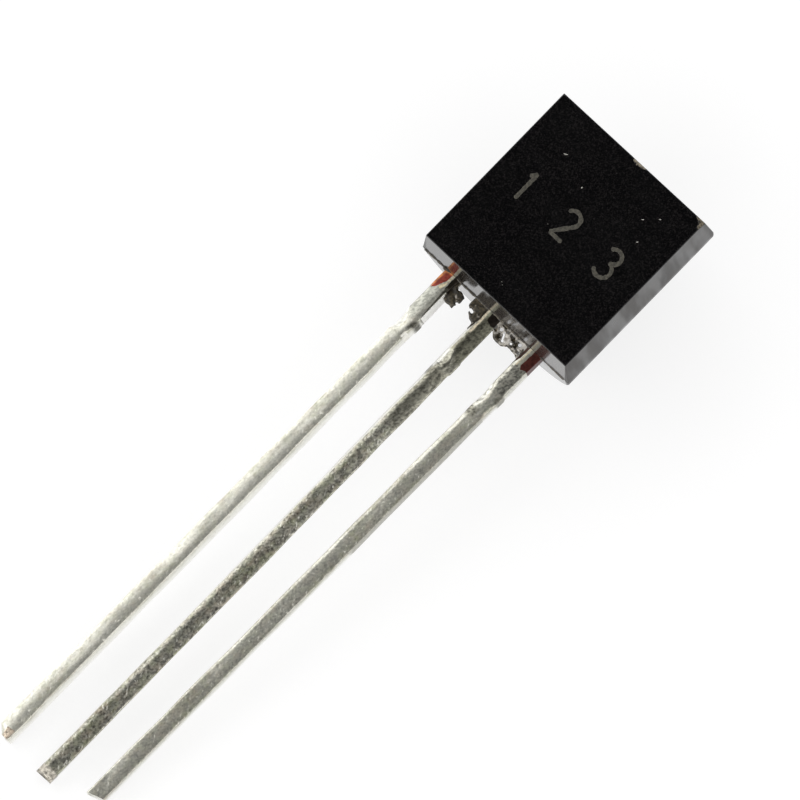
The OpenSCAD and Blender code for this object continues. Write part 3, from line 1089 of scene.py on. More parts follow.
@dataclass(frozen=True)
class PinNumbers:
    """Plain pin numbers over the leads, burnt into the flat in round-ended strokes. A stroke's
    width wobbles by about a share of it, over waves of that length."""

    middles: tuple[float, ...]
    base: float
    surface: float
    height: float = 0.74
    width: float = 0.42
    stroke: float = 0.095
    proud: float = 0.004
    wobble: float = 0.12
    wave: float = 0.12
    seed: int = 8

    def strokes(self) -> tuple[list[Array], ...]:
        """The digits' strokes. Arcs follow a circle's sine and cosine.

        Returns:
            For each digit its strokes as points, with X from -1 to 1 and the height from 0 to 1.
        """
        turn = np.linspace(math.radians(160), math.radians(-45), 22)
        bowl = np.stack([0.9 * np.cos(turn), 0.74 + 0.26 * np.sin(turn)], 1)
        upper = np.linspace(math.radians(155), math.radians(-90), 20)
        lower = np.linspace(math.radians(90), math.radians(-155), 22)
        top = np.stack([0.85 * np.cos(upper), 0.77 + 0.23 * np.sin(upper)], 1)
        bottom = np.stack([0.95 * np.cos(lower), 0.27 + 0.27 * np.sin(lower)], 1)
        return (
            [np.array([[-0.45, 0.8], [0.05, 1.0], [0.05, 0.0]])],
            [np.concatenate([bowl, [[-0.9, 0.0]]]), np.array([[-0.9, 0.0], [0.9, 0.0]])],
            [top, bottom],
        )

    def carried(self, path: Array) -> Array:
        """A flat oval profile carried along a path: its width and height shrink over the last
        half width of each end as a circle does, so that the ends are round.

        Args:
            path: Points in X and Z.

        Returns:
            Points as a grid, a row for each station along the path.
        """
        lengths = np.linalg.norm(np.diff(path, axis=0), axis=1)
        total = lengths.sum()
        at = np.concatenate([[0], lengths.cumsum()])
        half = self.stroke / 2
        ends = half * (1 - np.cos(np.linspace(0, np.pi / 2, 6)))
        run = np.concatenate([ends[:-1], np.linspace(half, total - half, 60), total - ends[-2::-1]])
        spots = np.stack([np.interp(run, at, path[:, i]) for i in (0, 1)], 1)
        heading = np.gradient(spots, run, axis=0)
        heading /= np.linalg.norm(heading, axis=1, keepdims=True)
        across = np.stack([-heading[:, 1], heading[:, 0]], 1)
        from_end = np.minimum(np.minimum(run, total - run) / half, 1)
        round_end = np.sqrt(np.maximum(1 - (1 - from_end) ** 2, 0))
        spin = np.linspace(0, 2 * np.pi, 14, endpoint=False)
        deep = np.stack([spots[:, 0], 0 * run, spots[:, 1]], 1)
        reach = half * (1 + self.wobble * ripple(deep, self.wave, self.seed)) * round_end
        side = reach[:, None] * np.cos(spin)
        lift = self.proud * round_end[:, None] * np.sin(spin)
        x = spots[:, :1] + across[:, :1] * side
        z = spots[:, 1:] + across[:, 1:] * side
        return np.stack([x, self.surface - lift, z], -1)

    def shell(self) -> Shell:
        """All strokes of all digits.

        Returns:
            One shell.
        """
        made = None
        for middle, digit in zip(self.middles, self.strokes()):
            for stroke in digit:
                path = stroke * [self.width / 2, self.height] + [middle, self.base]
                part = Shell.from_grid(self.carried(path), {}, ends=True)
                made = part if made is None else made.joined(part)
        return made


# ---- Leads ---------------------------------------------------------------------------------

LEAD_WIDTH = 0.41
LEAD_THICKNESS = 0.38


class TipCut(Enum):
    """How the shears left a lead's tip."""

    BEVELLED = "square, with its left corner bevelled"
    SQUARE = "square, crushed, with a burr at both corners"
    SLANTED = "slanted, with its left corner the longest"


@dataclass(frozen=True)
class Nick:
    """A flat facet pressed into one front edge of a lead where the dam bar was cut off: the left
    edge for side -1, the right for 1. Its depth follows straight lines between pairs of a
    distance below the body and a depth. bare is how shiny it is where more than shiny_span was
    pressed away."""

    side: int
    bites: tuple[Pair, ...]
    tilt: float
    bare: float = 0.5
    roll: float = 0.01
    rough: float = 0.006
    grain: float = 0.14
    seed: int = 7
    clear: float = -0.2
    beyond_tip: float = 99.0
    shiny_span: Pair = (0.01, 0.04)

    def carve(self, points: Array, half_width: float) -> tuple[Array, Array]:
        """Moves what lies beyond the facet back onto it, square to it: by roll log(1 + exp(d /
        roll)) for a distance d beyond it, which rounds the facet's border off.

        Args:
            points: Places across, into and down the lead, in millimetres.
            half_width: Half the lead's width.

        Returns:
            The moved points, and how shiny each is, from 0 to bare.
        """
        lean = math.radians(self.tilt)
        normal = np.array([self.side * math.cos(lean), -math.sin(lean), 0])
        stops, depths = zip((0, self.clear), *self.bites, (self.beyond_tip, self.clear))
        bite = np.interp(points[..., 2], stops, depths)
        bite = bite + self.rough * ripple(points, self.grain, self.seed)
        beyond = points @ normal - half_width * math.cos(lean) + bite
        excess = self.roll * np.logaddexp(0, beyond / self.roll)
        return points - excess[..., None] * normal, self.bare * eased(excess, *self.shiny_span)


@dataclass(frozen=True)
class Stub:
    """What is left of the dam bar on a lead's right edge, proud of it from start to end, which
    are distances below the body."""

    start: float
    end: float
    proud: float

    def swell(self, down: Array) -> Array:
        """How far the edge stands out: it rises and falls over an eighth of the stub's length.

        Args:
            down: Distances below the body.

        Returns:
            One distance for each.
        """
        ramp = (self.end - self.start) / 8
        stops = (self.start, self.start + ramp, self.end - ramp, self.end)
        return self.proud * np.interp(down, stops, (0, 1, 1, 0))


@dataclass(frozen=True)
class Lead:
    """One stamped lead: its length outside the body, and its post or paddle inside.

    Its front corners are quarter ellipses, given as their width and depth. From narrow_from down
    the left one's width shrinks, until left_kept of it is left at the tip. Lean and twist are in
    degrees. The twist comes in over turn_in, and changes from the dam bar to the tip. The bow
    sets the lead aside: it comes in over bow_in and goes again over bow_out. The waves of the
    faces and edges are given as a height and a length. Distances down are from the body.

    The edges shine over edge_band, which is measured in from them, and over left_shine and
    right_shine from front to back. The shears press a square tip in by crushed_by, over
    crush_run from crush_from before its end, and a bevelled one by bevelled_by, over bevel_from
    before its end and over bevel_span across it. The rings lie at the three steps.
    """

    node: str
    x: float
    length: float
    lean: float
    twist: Pair
    bow: float
    front_left: Pair
    front_right: Pair
    inner: Outline
    neck_top: float
    stub: Stub
    nicks: tuple[Nick, ...]
    tip: TipCut
    finish: TinPlate
    seed: int
    width: float = LEAD_WIDTH
    thickness: float = LEAD_THICKNESS
    back_corner: float = 0.03
    crown: float = 0.008
    dam_bar: float = 1.55
    bevel: float = 0.19
    slant: float = 19.0
    left_kept: float = 1.0
    narrow_from: float = 2.0
    bow_in: Pair = (-0.3, 0.6)
    bow_out: Pair = (11, 3)
    turn_in: Pair = (-0.4, 0.5)
    face_wave: Pair = (0.005, 0.5)
    edge_wave: Pair = (0.006, 0.6)
    wave_stretch: float = 0.35
    edge_band: Pair = (0.03, 0.005)
    left_shine: Pair = (0.1, 0.24)
    left_fade: float = 0.25
    right_shine: Pair = (0.0, 0.34)
    burr: float = 0.05
    crushed_by: float = 0.07
    crush_from: float = 0.26
    crush_run: float = 0.22
    crush_wave: float = 0.12
    bevelled_by: float = 0.14
    bevel_from: float = 0.24
    bevel_span: Pair = (0.14, -0.16)
    worn_to: float = 2.3
    tip_zone: float = 0.5
    worn_step: float = 0.016
    wide_step: float = 0.05
    tip_step: float = 0.014
    past_tip: float = 0.06

    def stations(self) -> Array:
        """Where the rings lie: close down to worn_to and in the tip zone, wider between.

        Returns:
            Distances below the body.
        """
        near_tip = self.length - self.tip_zone
        return np.concatenate([
            np.linspace(-self.neck_top, -0.02, 8),
            np.arange(0, self.worn_to, self.worn_step),
            np.arange(self.worn_to, near_tip, self.wide_step),
            np.arange(near_tip, self.length + self.past_tip, self.tip_step)])

    def tip_reach(self, across: Array) -> Array:
        """How far down the cut lets the lead reach: straight lines across the lead.

        Args:
            across: Distances across the lead from its middle.

        Returns:
            One distance below the body for each.
        """
        from_left = across + self.width / 2
        if self.tip is TipCut.BEVELLED:
            return np.minimum(self.length, self.length - self.bevel + from_left)
        if self.tip is TipCut.SLANTED:
            return self.length - from_left * math.tan(math.radians(self.slant))
        past = np.maximum(np.abs(across) - self.width / 2 + self.burr, 0)
        return self.length - self.burr + past

    def rings(self) -> Array:
        """Sections of the lead: rectangles whose corners are quarter ellipses (centre + width
        cos t, centre + depth sin t), joined by straight sides.

        Returns:
            Points across, into and down the lead, a row for each section.
        """
        down = self.stations()
        half = {-1: self.width / 2, 1: self.width / 2 + self.stub.swell(down)}
        kept = np.interp(down, (self.narrow_from, self.length), (1, self.left_kept))[:, None]
        full = 1 + 0 * kept
        back = (self.back_corner, self.back_corner)
        back_y = self.thickness - self.back_corner
        corners = [(-1, self.front_left, self.front_left[1], kept, 1.0),
                   (1, self.front_right, self.front_right[1], full, 1.5),
                   (1, back, back_y, full, 0.0), (-1, back, back_y, full, 0.5)]
        bend = np.linspace(0, np.pi / 2, 10)[None]
        arcs = []
        for side, (wide, deep), cy, left, start in corners:
            wide = wide * left
            cx = side * ((half[side] + 0 * down)[:, None] - wide)
            angle = start * np.pi + bend
            arcs.append((cx + wide * np.cos(angle), cy + deep * np.sin(angle) + 0 * cx))
        share = np.linspace(0, 1, 11)[None, 1:-1]
        sides = []
        for axis in (0, 1):
            joined = []
            for arc, following in zip(arcs, arcs[1:] + arcs[:1]):
                first, last = arc[axis][:, -1:], following[axis][:, :1]
                joined += [arc[axis], first + (last - first) * share]
            sides.append(np.concatenate(joined, 1))
        return np.stack([*sides, np.repeat(down[:, None], sides[0].shape[1], 1)], -1)

    def shine(self, grid: Array) -> Array:
        """How much the edges shine from shearing: the right one more towards the back, and the
        left one most in front.

        Args:
            grid: Points across, into and down the lead.

        Returns:
            A number from 0 to 1 for each point.
        """
        across, deep = grid[..., 0], grid[..., 1]
        on_edge = eased(np.abs(across), *(self.width / 2 - inside for inside in self.edge_band))
        left = 1 - self.left_fade * eased(deep, *self.left_shine)
        return on_edge * np.where(across > 0, eased(deep, *self.right_shine), left)

    def dent(self, grid: Array) -> None:
        """Crowns the front by the square of the distance across, so that it stands back towards
        its edges, and makes faces and edges wavy. The waves are longer along the lead than across
        it, and start outside the body.

        Args:
            grid: Points across, into and down the lead, which are moved.
        """
        front = 1 - eased(grid[..., 1], 0, self.thickness / 2)
        grid[..., 1] += self.crown * front * (2 * grid[..., 0] / self.width) ** 2
        out = eased(grid[..., 2], 0.1, 0.6)
        scaled = grid * [1, 1, self.wave_stretch]
        for axis, (height, length), seed in ((1, self.face_wave, 0), (0, self.edge_wave, 1)):
            grid[..., axis] += out * height * ripple(scaled, length, self.seed + seed)

    def crush(self, grid: Array) -> None:
        """Thins the last quarter of a millimetre as the shears did: a square cut from both faces,
        and a bevelled one from the front of its left corner.

        Args:
            grid: Points across, into and down the lead, which are moved.
        """
        if self.tip is TipCut.SQUARE:
            last = np.clip((grid[..., 2] - self.length + self.crush_from) / self.crush_run, 0, 1)
            uneven = 1 + 0.3 * ripple(grid, self.crush_wave, self.seed + 2)
            crushed = self.crushed_by * last * uneven
            grid[..., 1] += crushed * (1 - 2 * grid[..., 1] / self.thickness)
        if self.tip is TipCut.BEVELLED:
            last = eased(grid[..., 2], self.length - self.bevel_from, self.length)
            crushed = self.bevelled_by * last * eased(grid[..., 0], *self.bevel_span)
            grid[..., 1] += crushed * (1 - grid[..., 1] / self.thickness)

    def bent(self, grid: Array) -> Array:
        """Turns points by the twist about the lead's middle line, and sets them aside by its lean
        and bow.

        Args:
            grid: Points across, into and down the lead.

        Returns:
            The points in package axes.
        """
        down = grid[..., 2]
        angle = np.radians(self.twist[0] + (self.twist[1] - self.twist[0])
                           * eased(down, self.dam_bar, self.length))
        angle = angle * eased(down, *self.turn_in)
        u, v = grid[..., 0], grid[..., 1] - self.thickness / 2
        shift = math.tan(math.radians(self.lean)) * np.maximum(down - self.dam_bar, 0)
        shift = shift + self.bow * eased(down, *self.bow_in) * eased(down, *self.bow_out)
        x = self.x + shift + u * np.cos(angle) - v * np.sin(angle)
        y = self.thickness / 2 + u * np.sin(angle) + v * np.cos(angle)
        return np.stack([x, y, -down], -1)

    def outside(self) -> Shell:
        """The lead from its neck in the body to its tip: its rings carved by the nicks, dented,
        cut off at the tip's reach, crushed and bent.

        Returns:
            The shell, closed at both ends, with its stains as marks.
        """
        grid = self.rings()
        sheared = self.shine(grid)
        for nick in self.nicks:
            grid, cut = nick.carve(grid, self.width / 2)
            sheared = np.maximum(sheared, cut)
        across, down = grid[..., 0], grid[..., 2]
        marks = {stain.mark: stain.cover(across, down) for stain in self.finish.stains}
        marks[SHEARED] = sheared
        self.dent(grid)
        grid[..., 2] = np.minimum(grid[..., 2], self.tip_reach(grid[..., 0]))
        self.crush(grid)
        return Shell.from_grid(self.bent(grid), marks, ends=True)

    def shell(self) -> Shell:
        """The lead with its post or paddle inside the body."""
        inner = np.array(self.inner) + [self.x, 0]
        return self.outside().joined(Shell.from_plate(inner, 0, self.thickness))


@dataclass(frozen=True)
class LeadFrame:
    """The three leads at their pitch, and the shapes that they take inside the body."""

    pitch: float = 1.27
    row_offset: float = 0.04
    width: float = LEAD_WIDTH
    thickness: float = LEAD_THICKNESS
    post_z: float = 1.0
    post_h: float = 0.75
    post_in: float = 0.5
    post_out: float = 0.38
    paddle_z: float = 2.1
    paddle_w: float = 2.0
    paddle_h: float = 1.6
    notch: float = 0.16
    chamfer: float = 0.14

    @property
    def places(self) -> tuple[float, float, float]:
        """X of the left, centre and right lead."""
        return (-self.row_offset - self.pitch, -self.row_offset, self.pitch - self.row_offset)

    def post(self, side: int) -> Outline:
        """A bond post: a rectangle with two chamfered corners, on a neck.

        Args:
            side: -1 for the left lead and 1 for the right.

        Returns:
            Its outline, in X from its lead's middle and in Z.
        """
        c, top = self.chamfer, self.post_z + self.post_h
        inner, outer, neck = -side * self.post_in, side * self.post_out, side * self.width / 2
        return ((-neck, self.post_z - c), (inner, self.post_z), (inner, top - c),
                (inner + side * c, top), (outer - side * c, top), (outer, top - c),
                (outer, self.post_z), (neck, self.post_z - c))

    def paddle(self) -> Outline:
        """The die paddle: a notched right edge and its mirror image.

        Returns:
            Its outline, in X from its lead's middle and in Z.
        """
        c, n, half = self.chamfer, self.notch, self.paddle_w / 2
        base, top = self.paddle_z, self.paddle_z + self.paddle_h
        middle = (base + top) / 2
        right = [(self.width / 2, base - c), (self.width / 2 + c, base), (half - c, base),
                 (half, base + c), (half, middle - n), (half - n, middle), (half, middle + n),
                 (half, top - c), (half - c, top)]
        return tuple(right + [(-x, z) for x, z in reversed(right)])

    def left_lead(self) -> Lead:
        """The left lead.

        Returns:
            The lead, with bare copper and char at its root, turned to the left, and light, with
            painted shade and painted highlights near the body.
        """
        stains = (
            # Painted shade: the front darker near the body.
            Stain("dull", (0.48, 0.48, 0.42), (
                (-0.3, 0.2), (0.1, 0.2), (0.1, 1.2), (0.0, 1.4), (-0.3, 1.05)),
                soft=0.08, edge=0.4),
            Stain("copper", (0.25, 0.035, 0.02), (
                (-0.18, -0.3), (0.03, -0.3), (0.02, 0.2), (-0.04, 0.34), (-0.08, 0.44),
                (-0.17, 0.54)), metal=0.4),
            Stain("orange", (0.62, 0.24, 0.08), (
                (-0.3, -0.3), (0.03, -0.3), (0.02, 0.03), (-0.14, 0.05), (-0.17, 0.5),
                (-0.3, 0.5)), metal=0.4, soft=0.05, edge=0.45),
            # Painted highlight: a cream line and spots near the body.
            Stain("cream", (0.7, 0.62, 0.42), (
                (0.035, -0.3), (0.075, -0.3), (0.075, 0.3), (0.06, 0.42), (-0.04, 0.42),
                (-0.02, 0.32), (0.035, 0.26)), metal=0.3, edge=0.2),
            Stain("char", (0.038, 0.03, 0.021), (
                (0.08, -0.3), (0.3, -0.3), (0.3, 0.26), (0.2, 0.4), (0.11, 0.34)), soft=0.04),
            Stain("shade", (0.12, 0.115, 0.09), (
                (0.12, 0.3), (0.19, 0.3), (0.2, 1.0), (0.21, 1.25), (0.17, 1.1)),
                soft=0.03, edge=0.4),
            # Painted shade beside the dam-bar stub.
            Stain("smear", (0.13, 0.125, 0.1), (
                (0.1, 1.42), (0.17, 1.34), (0.3, 1.22), (0.3, 1.44), (0.2, 1.5), (0.12, 1.58)),
                soft=0.07, edge=0.5, mottled=1.0),
            Stain("gleam", (0.97, 0.96, 0.93), (
                (0.2, 0.45), (0.3, 0.45), (0.3, 1.25), (0.2, 1.21)),
                metal=0.3, soft=0.004, edge=0.2, mottled=0.1),
            Stain("glint", (0.97, 0.95, 0.88), (
                (0.17, 1.66), (0.3, 1.58), (0.3, 1.84), (0.2, 1.82)),
                metal=0.3, soft=0.03, edge=0.2, mottled=0.1),
            Stain("scuff", (0.5, 0.42, 0.33), (
                (-0.02, 14.12), (0.18, 14.08), (0.18, 14.5), (0.02, 14.5)),
                metal=0.6, soft=0.03, edge=0.3, mottled=1.2),
        )
        nicks = (
            Nick(-1, ((1.14, 0), (1.26, 0.06), (1.46, 0.11), (1.68, 0.1), (1.84, 0)), tilt=55,
                 roll=0.016),
            Nick(1, ((1.56, 0), (1.66, 0.05), (1.8, 0.05), (1.86, 0)), tilt=30, bare=0.9),
        )
        return Lead("left_lead", self.places[0], length=14.34, lean=-0.21, twist=(-11, -12),
                    bow=0.0, front_left=(0.1, 0.03), front_right=(0.2, 0.035),
                    inner=self.post(-1), neck_top=self.post_z, nicks=nicks,
                    stub=Stub(start=1.28, end=1.54, proud=0.02), tip=TipCut.BEVELLED,
                    finish=TinPlate("tin_plate_left", stains, gloom=-0.05, grain=0.22, metal=0.76),
                    seed=21)

    def centre_lead(self) -> Lead:
        """The centre lead.

        Returns:
            The lead, with resin film and char at its root, and the darkest of the three, partly by
            painted shade down its front.
        """
        stains = (
            # Painted shade: the front darker from the dam bar down, in place of a darker
            # reflection.
            Stain("dim", (0.4, 0.39, 0.32), (
                (-0.15, 1.0), (0.3, 1.0), (0.3, 3.6), (-0.15, 3.2)),
                metal=0.94, soft=0.06, edge=0.5, mottled=0.8),
            Stain("shade", (0.24, 0.235, 0.18), (
                (-0.16, 0.2), (0.28, 0.2), (0.28, 1.25), (0.1, 1.4), (-0.15, 1.1)),
                metal=0.9, soft=0.05, edge=0.45, mottled=0.85),
            Stain("patch", (0.26, 0.25, 0.2), (
                (-0.3, 1.78), (0.1, 1.74), (0.14, 1.95), (0.0, 2.1), (-0.3, 1.95)),
                soft=0.09, edge=0.45, mottled=1.0),
            Stain("film", (0.046, 0.035, 0.025), (
                (-0.3, -0.3), (-0.17, -0.3), (-0.17, 0.3), (-0.2, 0.6), (-0.3, 0.6))),
            # Painted highlight: a cream strip along the left of the front near the body.
            Stain("cream", (0.62, 0.54, 0.4), (
                (-0.16, -0.3), (-0.125, -0.3), (-0.125, 0.68), (-0.155, 0.68)),
                metal=0.3, soft=0.015, edge=0.2),
            Stain("char", (0.02, 0.0155, 0.012), (
                (-0.06, -0.3), (0.3, -0.3), (0.3, 0.22), (0.1, 0.26), (-0.04, 0.22)),
                soft=0.03, edge=0.3),
            Stain("scuff", (0.44, 0.41, 0.35), (
                (-0.3, 14.14), (0.3, 14.14), (0.3, 14.6), (-0.3, 14.6)),
                metal=0.6, soft=0.04, edge=0.45, mottled=0.8),
        )
        nicks = (
            Nick(-1, ((1.14, 0), (1.24, 0.08), (1.46, 0.125), (1.64, 0.12), (1.78, 0)), tilt=48,
                 bare=0.6, roll=0.013),
            Nick(-1, ((0.66, 0), (0.8, 0.045), (1.08, 0.05), (1.18, 0)), tilt=30, bare=0.7),
            Nick(1, ((1.66, 0), (1.74, 0.05), (1.84, 0.05), (1.92, 0)), tilt=50, bare=0.8),
        )
        return Lead("centre_lead", self.places[1], length=14.39, lean=-0.13, twist=(16, 6.5),
                    bow=-0.014, front_left=(0.21, 0.12), front_right=(0.03, 0.03),
                    inner=self.paddle(), neck_top=self.paddle_z, nicks=nicks,
                    stub=Stub(start=1.3, end=1.72, proud=0.02), tip=TipCut.SQUARE,
                    finish=TinPlate("tin_plate_centre", stains, gloom=0.06, grain=0.62, metal=0.94),
                    seed=31, left_kept=0.75)

    def right_lead(self) -> Lead:
        """The right lead.

        Returns:
            The lead, with resin film and a dark red patch at its root, and painted shade on its
            right side.
        """
        stains = (
            # Painted shade on the right side face, below the dam bar.
            Stain("side", (0.42, 0.41, 0.35), (
                (0.19, 1.9), (0.3, 1.9), (0.3, 6.5), (0.19, 6.0)),
                metal=0.9, soft=0.03, edge=0.45, mottled=0.3),
            Stain("shade", (0.52, 0.51, 0.44), (
                (-0.2, 0.5), (0.2, 0.4), (0.2, 1.2), (0.0, 1.3), (-0.19, 1.05)),
                metal=0.9, soft=0.06, edge=0.45, mottled=1.0),
            Stain("patch", (0.34, 0.33, 0.27), (
                (-0.3, 1.8), (0.02, 1.8), (0.02, 2.0), (-0.1, 2.1), (-0.3, 1.9)),
                soft=0.08, edge=0.45, mottled=1.0),
            Stain("film", (0.055, 0.03, 0.022), (
                (-0.3, -0.3), (-0.13, -0.3), (-0.13, 0.3), (-0.2, 0.55), (-0.3, 0.55))),
            # Painted highlight: a cream strip along the left of the front near the body.
            Stain("cream", (0.62, 0.55, 0.4), (
                (-0.115, -0.3), (-0.075, -0.3), (-0.075, 0.5), (-0.11, 0.5)),
                metal=0.3, soft=0.015, edge=0.2),
            Stain("rust", (0.1, 0.026, 0.02), (
                (0.0, -0.3), (0.3, -0.3), (0.3, 0.5), (0.16, 0.46), (0.06, 0.52), (0.0, 0.44)),
                metal=0.7),
            # Painted shade beside the dam-bar stub.
            Stain("smear", (0.3, 0.29, 0.24), (
                (0.2, 1.2), (0.3, 1.2), (0.3, 1.4), (0.2, 1.46), (0.12, 1.44), (0.14, 1.3)),
                soft=0.05, edge=0.4),
        )
        nicks = (
            Nick(-1, ((1.04, 0), (1.16, 0.05), (1.45, 0.09), (1.62, 0.08), (1.8, 0)), tilt=55,
                 roll=0.012),
            Nick(1, ((1.54, 0), (1.62, 0.03), (1.8, 0.03), (1.88, 0)), tilt=50),
        )
        return Lead("right_lead", self.places[2], length=13.97, lean=-0.66, twist=(-2.5, -2),
                    bow=-0.01, front_left=(0.125, 0.065), front_right=(0.08, 0.015),
                    inner=self.post(1), neck_top=self.post_z, nicks=nicks,
                    stub=Stub(start=1.22, end=1.5, proud=0.015), tip=TipCut.SLANTED,
                    finish=TinPlate("tin_plate_right", stains, gloom=0.0, grain=0.34, metal=0.84),
                    seed=41, left_kept=0.4)

    def leads(self) -> list[Lead]:
        """The three leads with their own wear."""
        return [self.left_lead(), self.centre_lead(), self.right_lead()]


# ---- Studio --------------------------------------------------------------------------------


@dataclass(frozen=True)
class Studio:
    """A plain pale floor, soft light from all sides and a camera above the flat. Angles are in
    degrees, distances in millimetres, and the floor's half width in metres."""

    picture: float = 800.0
    pixels_per_mm: float = 45.05
    anchor: Place = (0.0, 0.0, -5.0)
    anchor_pixel: Pair = (339.0, 475.5)
    swing: float = 10.0
    dip: float = 5.1
    roll: float = 44.23
    distance: float = 500.0
    sensor: float = 36.0
    floor_half: float = 0.6
    ring: float = 1.55
    one_sided: float = 0.2
    ring_top: float = 0.72
    dark_from: float = 0.93
    overhead: float = 0.02

    def camera(self, axes: PackageAxes) -> None:
        """The camera, which sees the anchor at its pixel.

        The line from the anchor back to the camera swings from the flat's normal to the right and
        dips towards the leads. The camera is rolled about it, and moved sideways so that the
        anchor falls beside the picture's middle.

        Args:
            axes: Where the package lies.
        """
        swing, dip, roll = (math.radians(v) for v in (self.swing, self.dip, self.roll))
        back = np.array([math.sin(swing) * math.cos(dip), -math.cos(swing) * math.cos(dip),
                         -math.sin(dip)])
        up = np.array([0.0, 0.0, 1.0]) - back * back[2]
        up /= np.linalg.norm(up)
        right = np.cross(up, back)
        right, up = (math.cos(roll) * right + math.sin(roll) * up,
                     math.cos(roll) * up - math.sin(roll) * right)
        across, down = np.array(self.anchor_pixel) - self.picture / 2
        seat = (np.array(self.anchor) + self.distance * back
                + (up * down - right * across) / self.pixels_per_mm)
        turned = axes.axes @ np.stack([right, up, back], 1)
        matrix = Matrix.Identity(4)
        for row in range(3):
            matrix[row][:3] = turned[row].tolist()
            matrix[row][3] = float(axes.place(seat)[row])
        data = bpy.data.cameras.new("camera")
        data.sensor_width = self.sensor
        data.lens = self.pixels_per_mm * self.distance / self.picture * self.sensor
        data.clip_start, data.clip_end = 0.01, 10.0
        made = linked("camera", data)
        made.matrix_world = matrix
        bpy.context.scene.camera = made

    def floor(self) -> None:
        """The floor, which keeps the part's soft shadow."""
        half = self.floor_half
        mesh = bpy.data.meshes.new("floor")
        corners = [(-half, -half, 0), (half, -half, 0), (half, half, 0), (-half, half, 0)]
        mesh.from_pydata(corners, [], [(0, 1, 2, 3)])
        mesh.materials.append(PaleFloor("white_floor").material())
        linked("floor", mesh)

    def world(self) -> None:
        """Light from all round: bright from the sides, most of all from the left and from the
        tips' side, dim overhead, and white to the camera."""
        world = bpy.data.worlds.new("studio")
        world.use_nodes = True
        recipe = Recipe(world.node_tree)
        ray = recipe.node("ShaderNodeTexCoord", {}, {}).outputs["Generated"]
        x, y, height = recipe.apart(ray)
        overhead = height.eased(self.ring_top, self.dark_from)
        key = recipe.tinted((self.ring,) * 3, 1 - self.one_sided * (x + y))
        sides = recipe.blend(overhead, key, (self.overhead,) * 3)
        path = recipe.node("ShaderNodeLightPath", {}, {})
        colour = recipe.blend(Level(recipe, path.outputs["Is Camera Ray"]), sides, (1.0, 1.0, 1.0))
        sky = recipe.node("ShaderNodeBackground", {}, {"Color": colour, "Strength": 1.0})
        recipe.node("ShaderNodeOutputWorld", {}, {"Surface": sky.outputs[0]})
        bpy.context.scene.world = world

    def build(self, axes: PackageAxes) -> None:
        """Makes the floor, the light and the camera.

        Args:
            axes: Where the package lies.
        """
        self.floor()
        self.world()
        self.camera(axes)
        bpy.context.scene.view_settings.view_transform = "Standard"
        log.info("studio built")


# ---- Assembly ------------------------------------------------------------------------------


def beside(x: float, *spots: Pair) -> Outline:
    """Spots, given as a distance to the right of x and a height, in package axes."""
    return tuple((x + across, z) for across, z in spots)


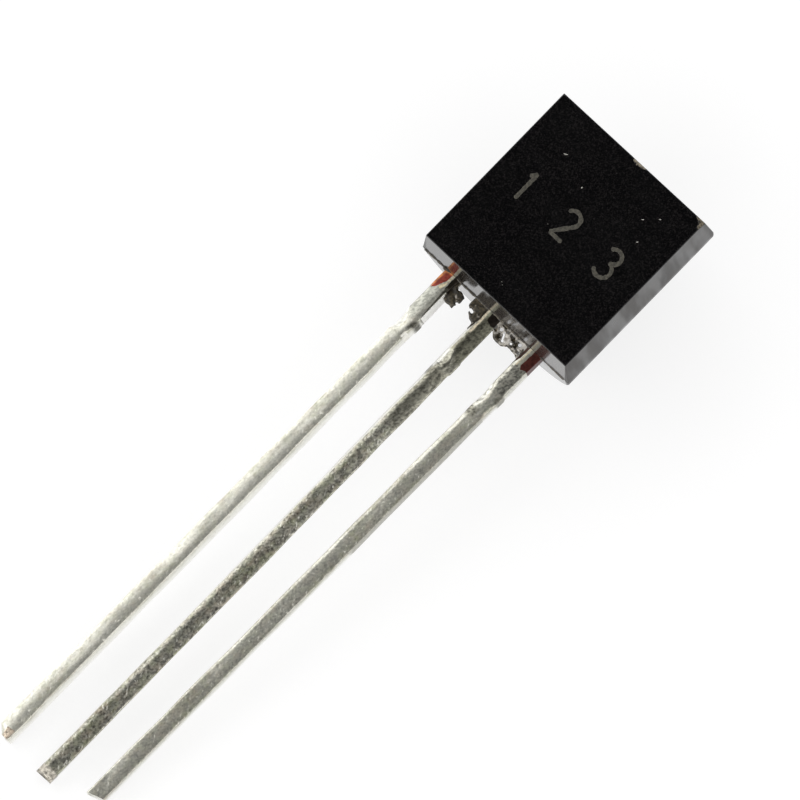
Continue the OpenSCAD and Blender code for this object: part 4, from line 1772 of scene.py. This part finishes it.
def flakes(places: tuple[float, float, float]) -> list[Flake]:
    """The webs of flash between the leads, and the fin along the parting line.

    Args:
        places: X of the left, centre and right lead.

    Returns:
        The flakes, in package axes.
    """
    left, centre, right = places
    tab = beside(left, (0.1, 0.04), (0.1, -0.5), (0.28, -0.55), (0.46, -0.54), (0.53, -0.34),
                 (0.54, -0.2), (0.44, -0.15), (0.31, -0.15), (0.26, -0.1), (0.26, 0.04))
    middle_tab = beside(centre, (-0.1, 0.04), (-0.1, -0.5), (-0.22, -0.66), (-0.25, -0.5),
                        (-0.35, -0.46), (-0.45, -0.37), (-0.5, -0.3), (-0.57, -0.24),
                        (-0.57, 0.04))
    web = beside(centre, (0.1, 0.04), (0.1, -0.28), (0.22, -0.3), (0.37, -0.425),
                 (0.59, -0.425), (0.7, -0.32))
    web += beside(right, (-0.24, -0.37), (-0.22, -0.52), (-0.1, -0.52), (-0.1, 0.04))
    fin = ((-2.15, 0.04), (-2.18, -0.03), (-1.9, -0.03))
    fin += beside(left, (-0.5, -0.03), (-0.3, -0.035), (-0.27, -0.055), (-0.22, -0.055),
                  (-0.2, -0.03))
    fin += ((right, -0.03), (right + 0.3, -0.02), (2.1, -0.03), (2.18, 0.04))
    tab_bubbles = (Bubble(*beside(left, (0.49, -0.4), (0.55, -0.4)), 0.03),)
    middle_bubbles = (Bubble(*beside(centre, (-0.46, -0.29), (-0.41, -0.3)), 0.035),)
    web_bubbles = (Bubble(*beside(centre, (0.45, -0.15), (0.51, -0.27)), 0.02),)
    for x, z, radius in ((0.354, -0.134, 0.04), (0.543, -0.31, 0.03), (0.731, -0.225, 0.026),
                         (0.894, -0.11, 0.042)):
        web_bubbles += (Bubble(*beside(centre, (x, z), (x, z)), radius),)
    thick, thin = FlashResin("thick_flash", 0.15), FlashResin("thin_flash", -0.01)
    return [
        Flake("left_flash_web", thick, tab, tab_bubbles, seed=51),
        Flake("centre_flash_web", thick, middle_tab, middle_bubbles, seed=52),
        Flake("right_flash_web", thin, web, web_bubbles, seed=53, sway=0.035),
        Flake("parting_fin", thick, fin, (), seed=54, middle=0.02, thickness=0.05, ragged=0.006,
              sway=0.01),
    ]


def hold(piece: bpy.types.Object, slot: str, *nodes: str) -> None:
    """Rides a piece on the part's one body.

    Args:
        piece: The piece.
        slot: The material slot meant for it. It is not used.
        nodes: The nodes that it stands for, if any.
    """
    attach(piece, BODY)
    if nodes:
        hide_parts(*nodes)


def main() -> None:
    """Builds every piece in order."""
    lead_frame = LeadFrame()
    exit_middle = (-lead_frame.row_offset, lead_frame.thickness / 2, 0.0)
    axes = PackageAxes.from_record(frame["record"], exit_middle)
    Studio().build(axes)

    body = MouldedBody()
    resin = MouldedResin("moulded_resin", body.front_depth).material()
    hold(body.shell().piece("moulded_body", axes, resin, sharp=28.0), "moulding_resin", "body")
    flash = {}
    for flake in flakes(lead_frame.places):
        if flake.finish.name not in flash:
            flash[flake.finish.name] = flake.finish.material()
        webbed = flake.shell().piece(flake.name, axes, flash[flake.finish.name], sharp=60.0)
        hold(webbed, "moulding_resin", "body")
    burnt = LaserMark("laser_mark").material()
    numbers = PinNumbers(lead_frame.places, base=2.06, surface=-body.front_depth).shell()
    hold(numbers.piece("pin_numbers", axes, burnt, sharp=60.0), "moulding_resin")

    for lead in lead_frame.leads():
        tinned = lead.shell().piece(f"{lead.node}_tinned", axes, lead.finish.material())
        hold(tinned, "tinned_lead", lead.node)

    hidden = {
        "die": HiddenMetal("polished_silicon", (0.2, 0.21, 0.24), roughness=0.15, grain=4.0),
        "die_solder": HiddenMetal("dull_solder", (0.5, 0.5, 0.51), roughness=0.45, grain=12.0),
        "left_bond_wire": HiddenMetal("gold_wire", (0.85, 0.62, 0.2), roughness=0.2, grain=20.0),
    }
    hidden["right_bond_wire"] = hidden["left_bond_wire"]
    for node, finish in hidden.items():
        mesh = frame["nodes"][node].data
        mesh.materials.clear()
        mesh.materials.append(finish.material())
        log.info("%s dressed", node)


if __name__ == "__main__":
    logging.basicConfig(level=logging.INFO)
    main()
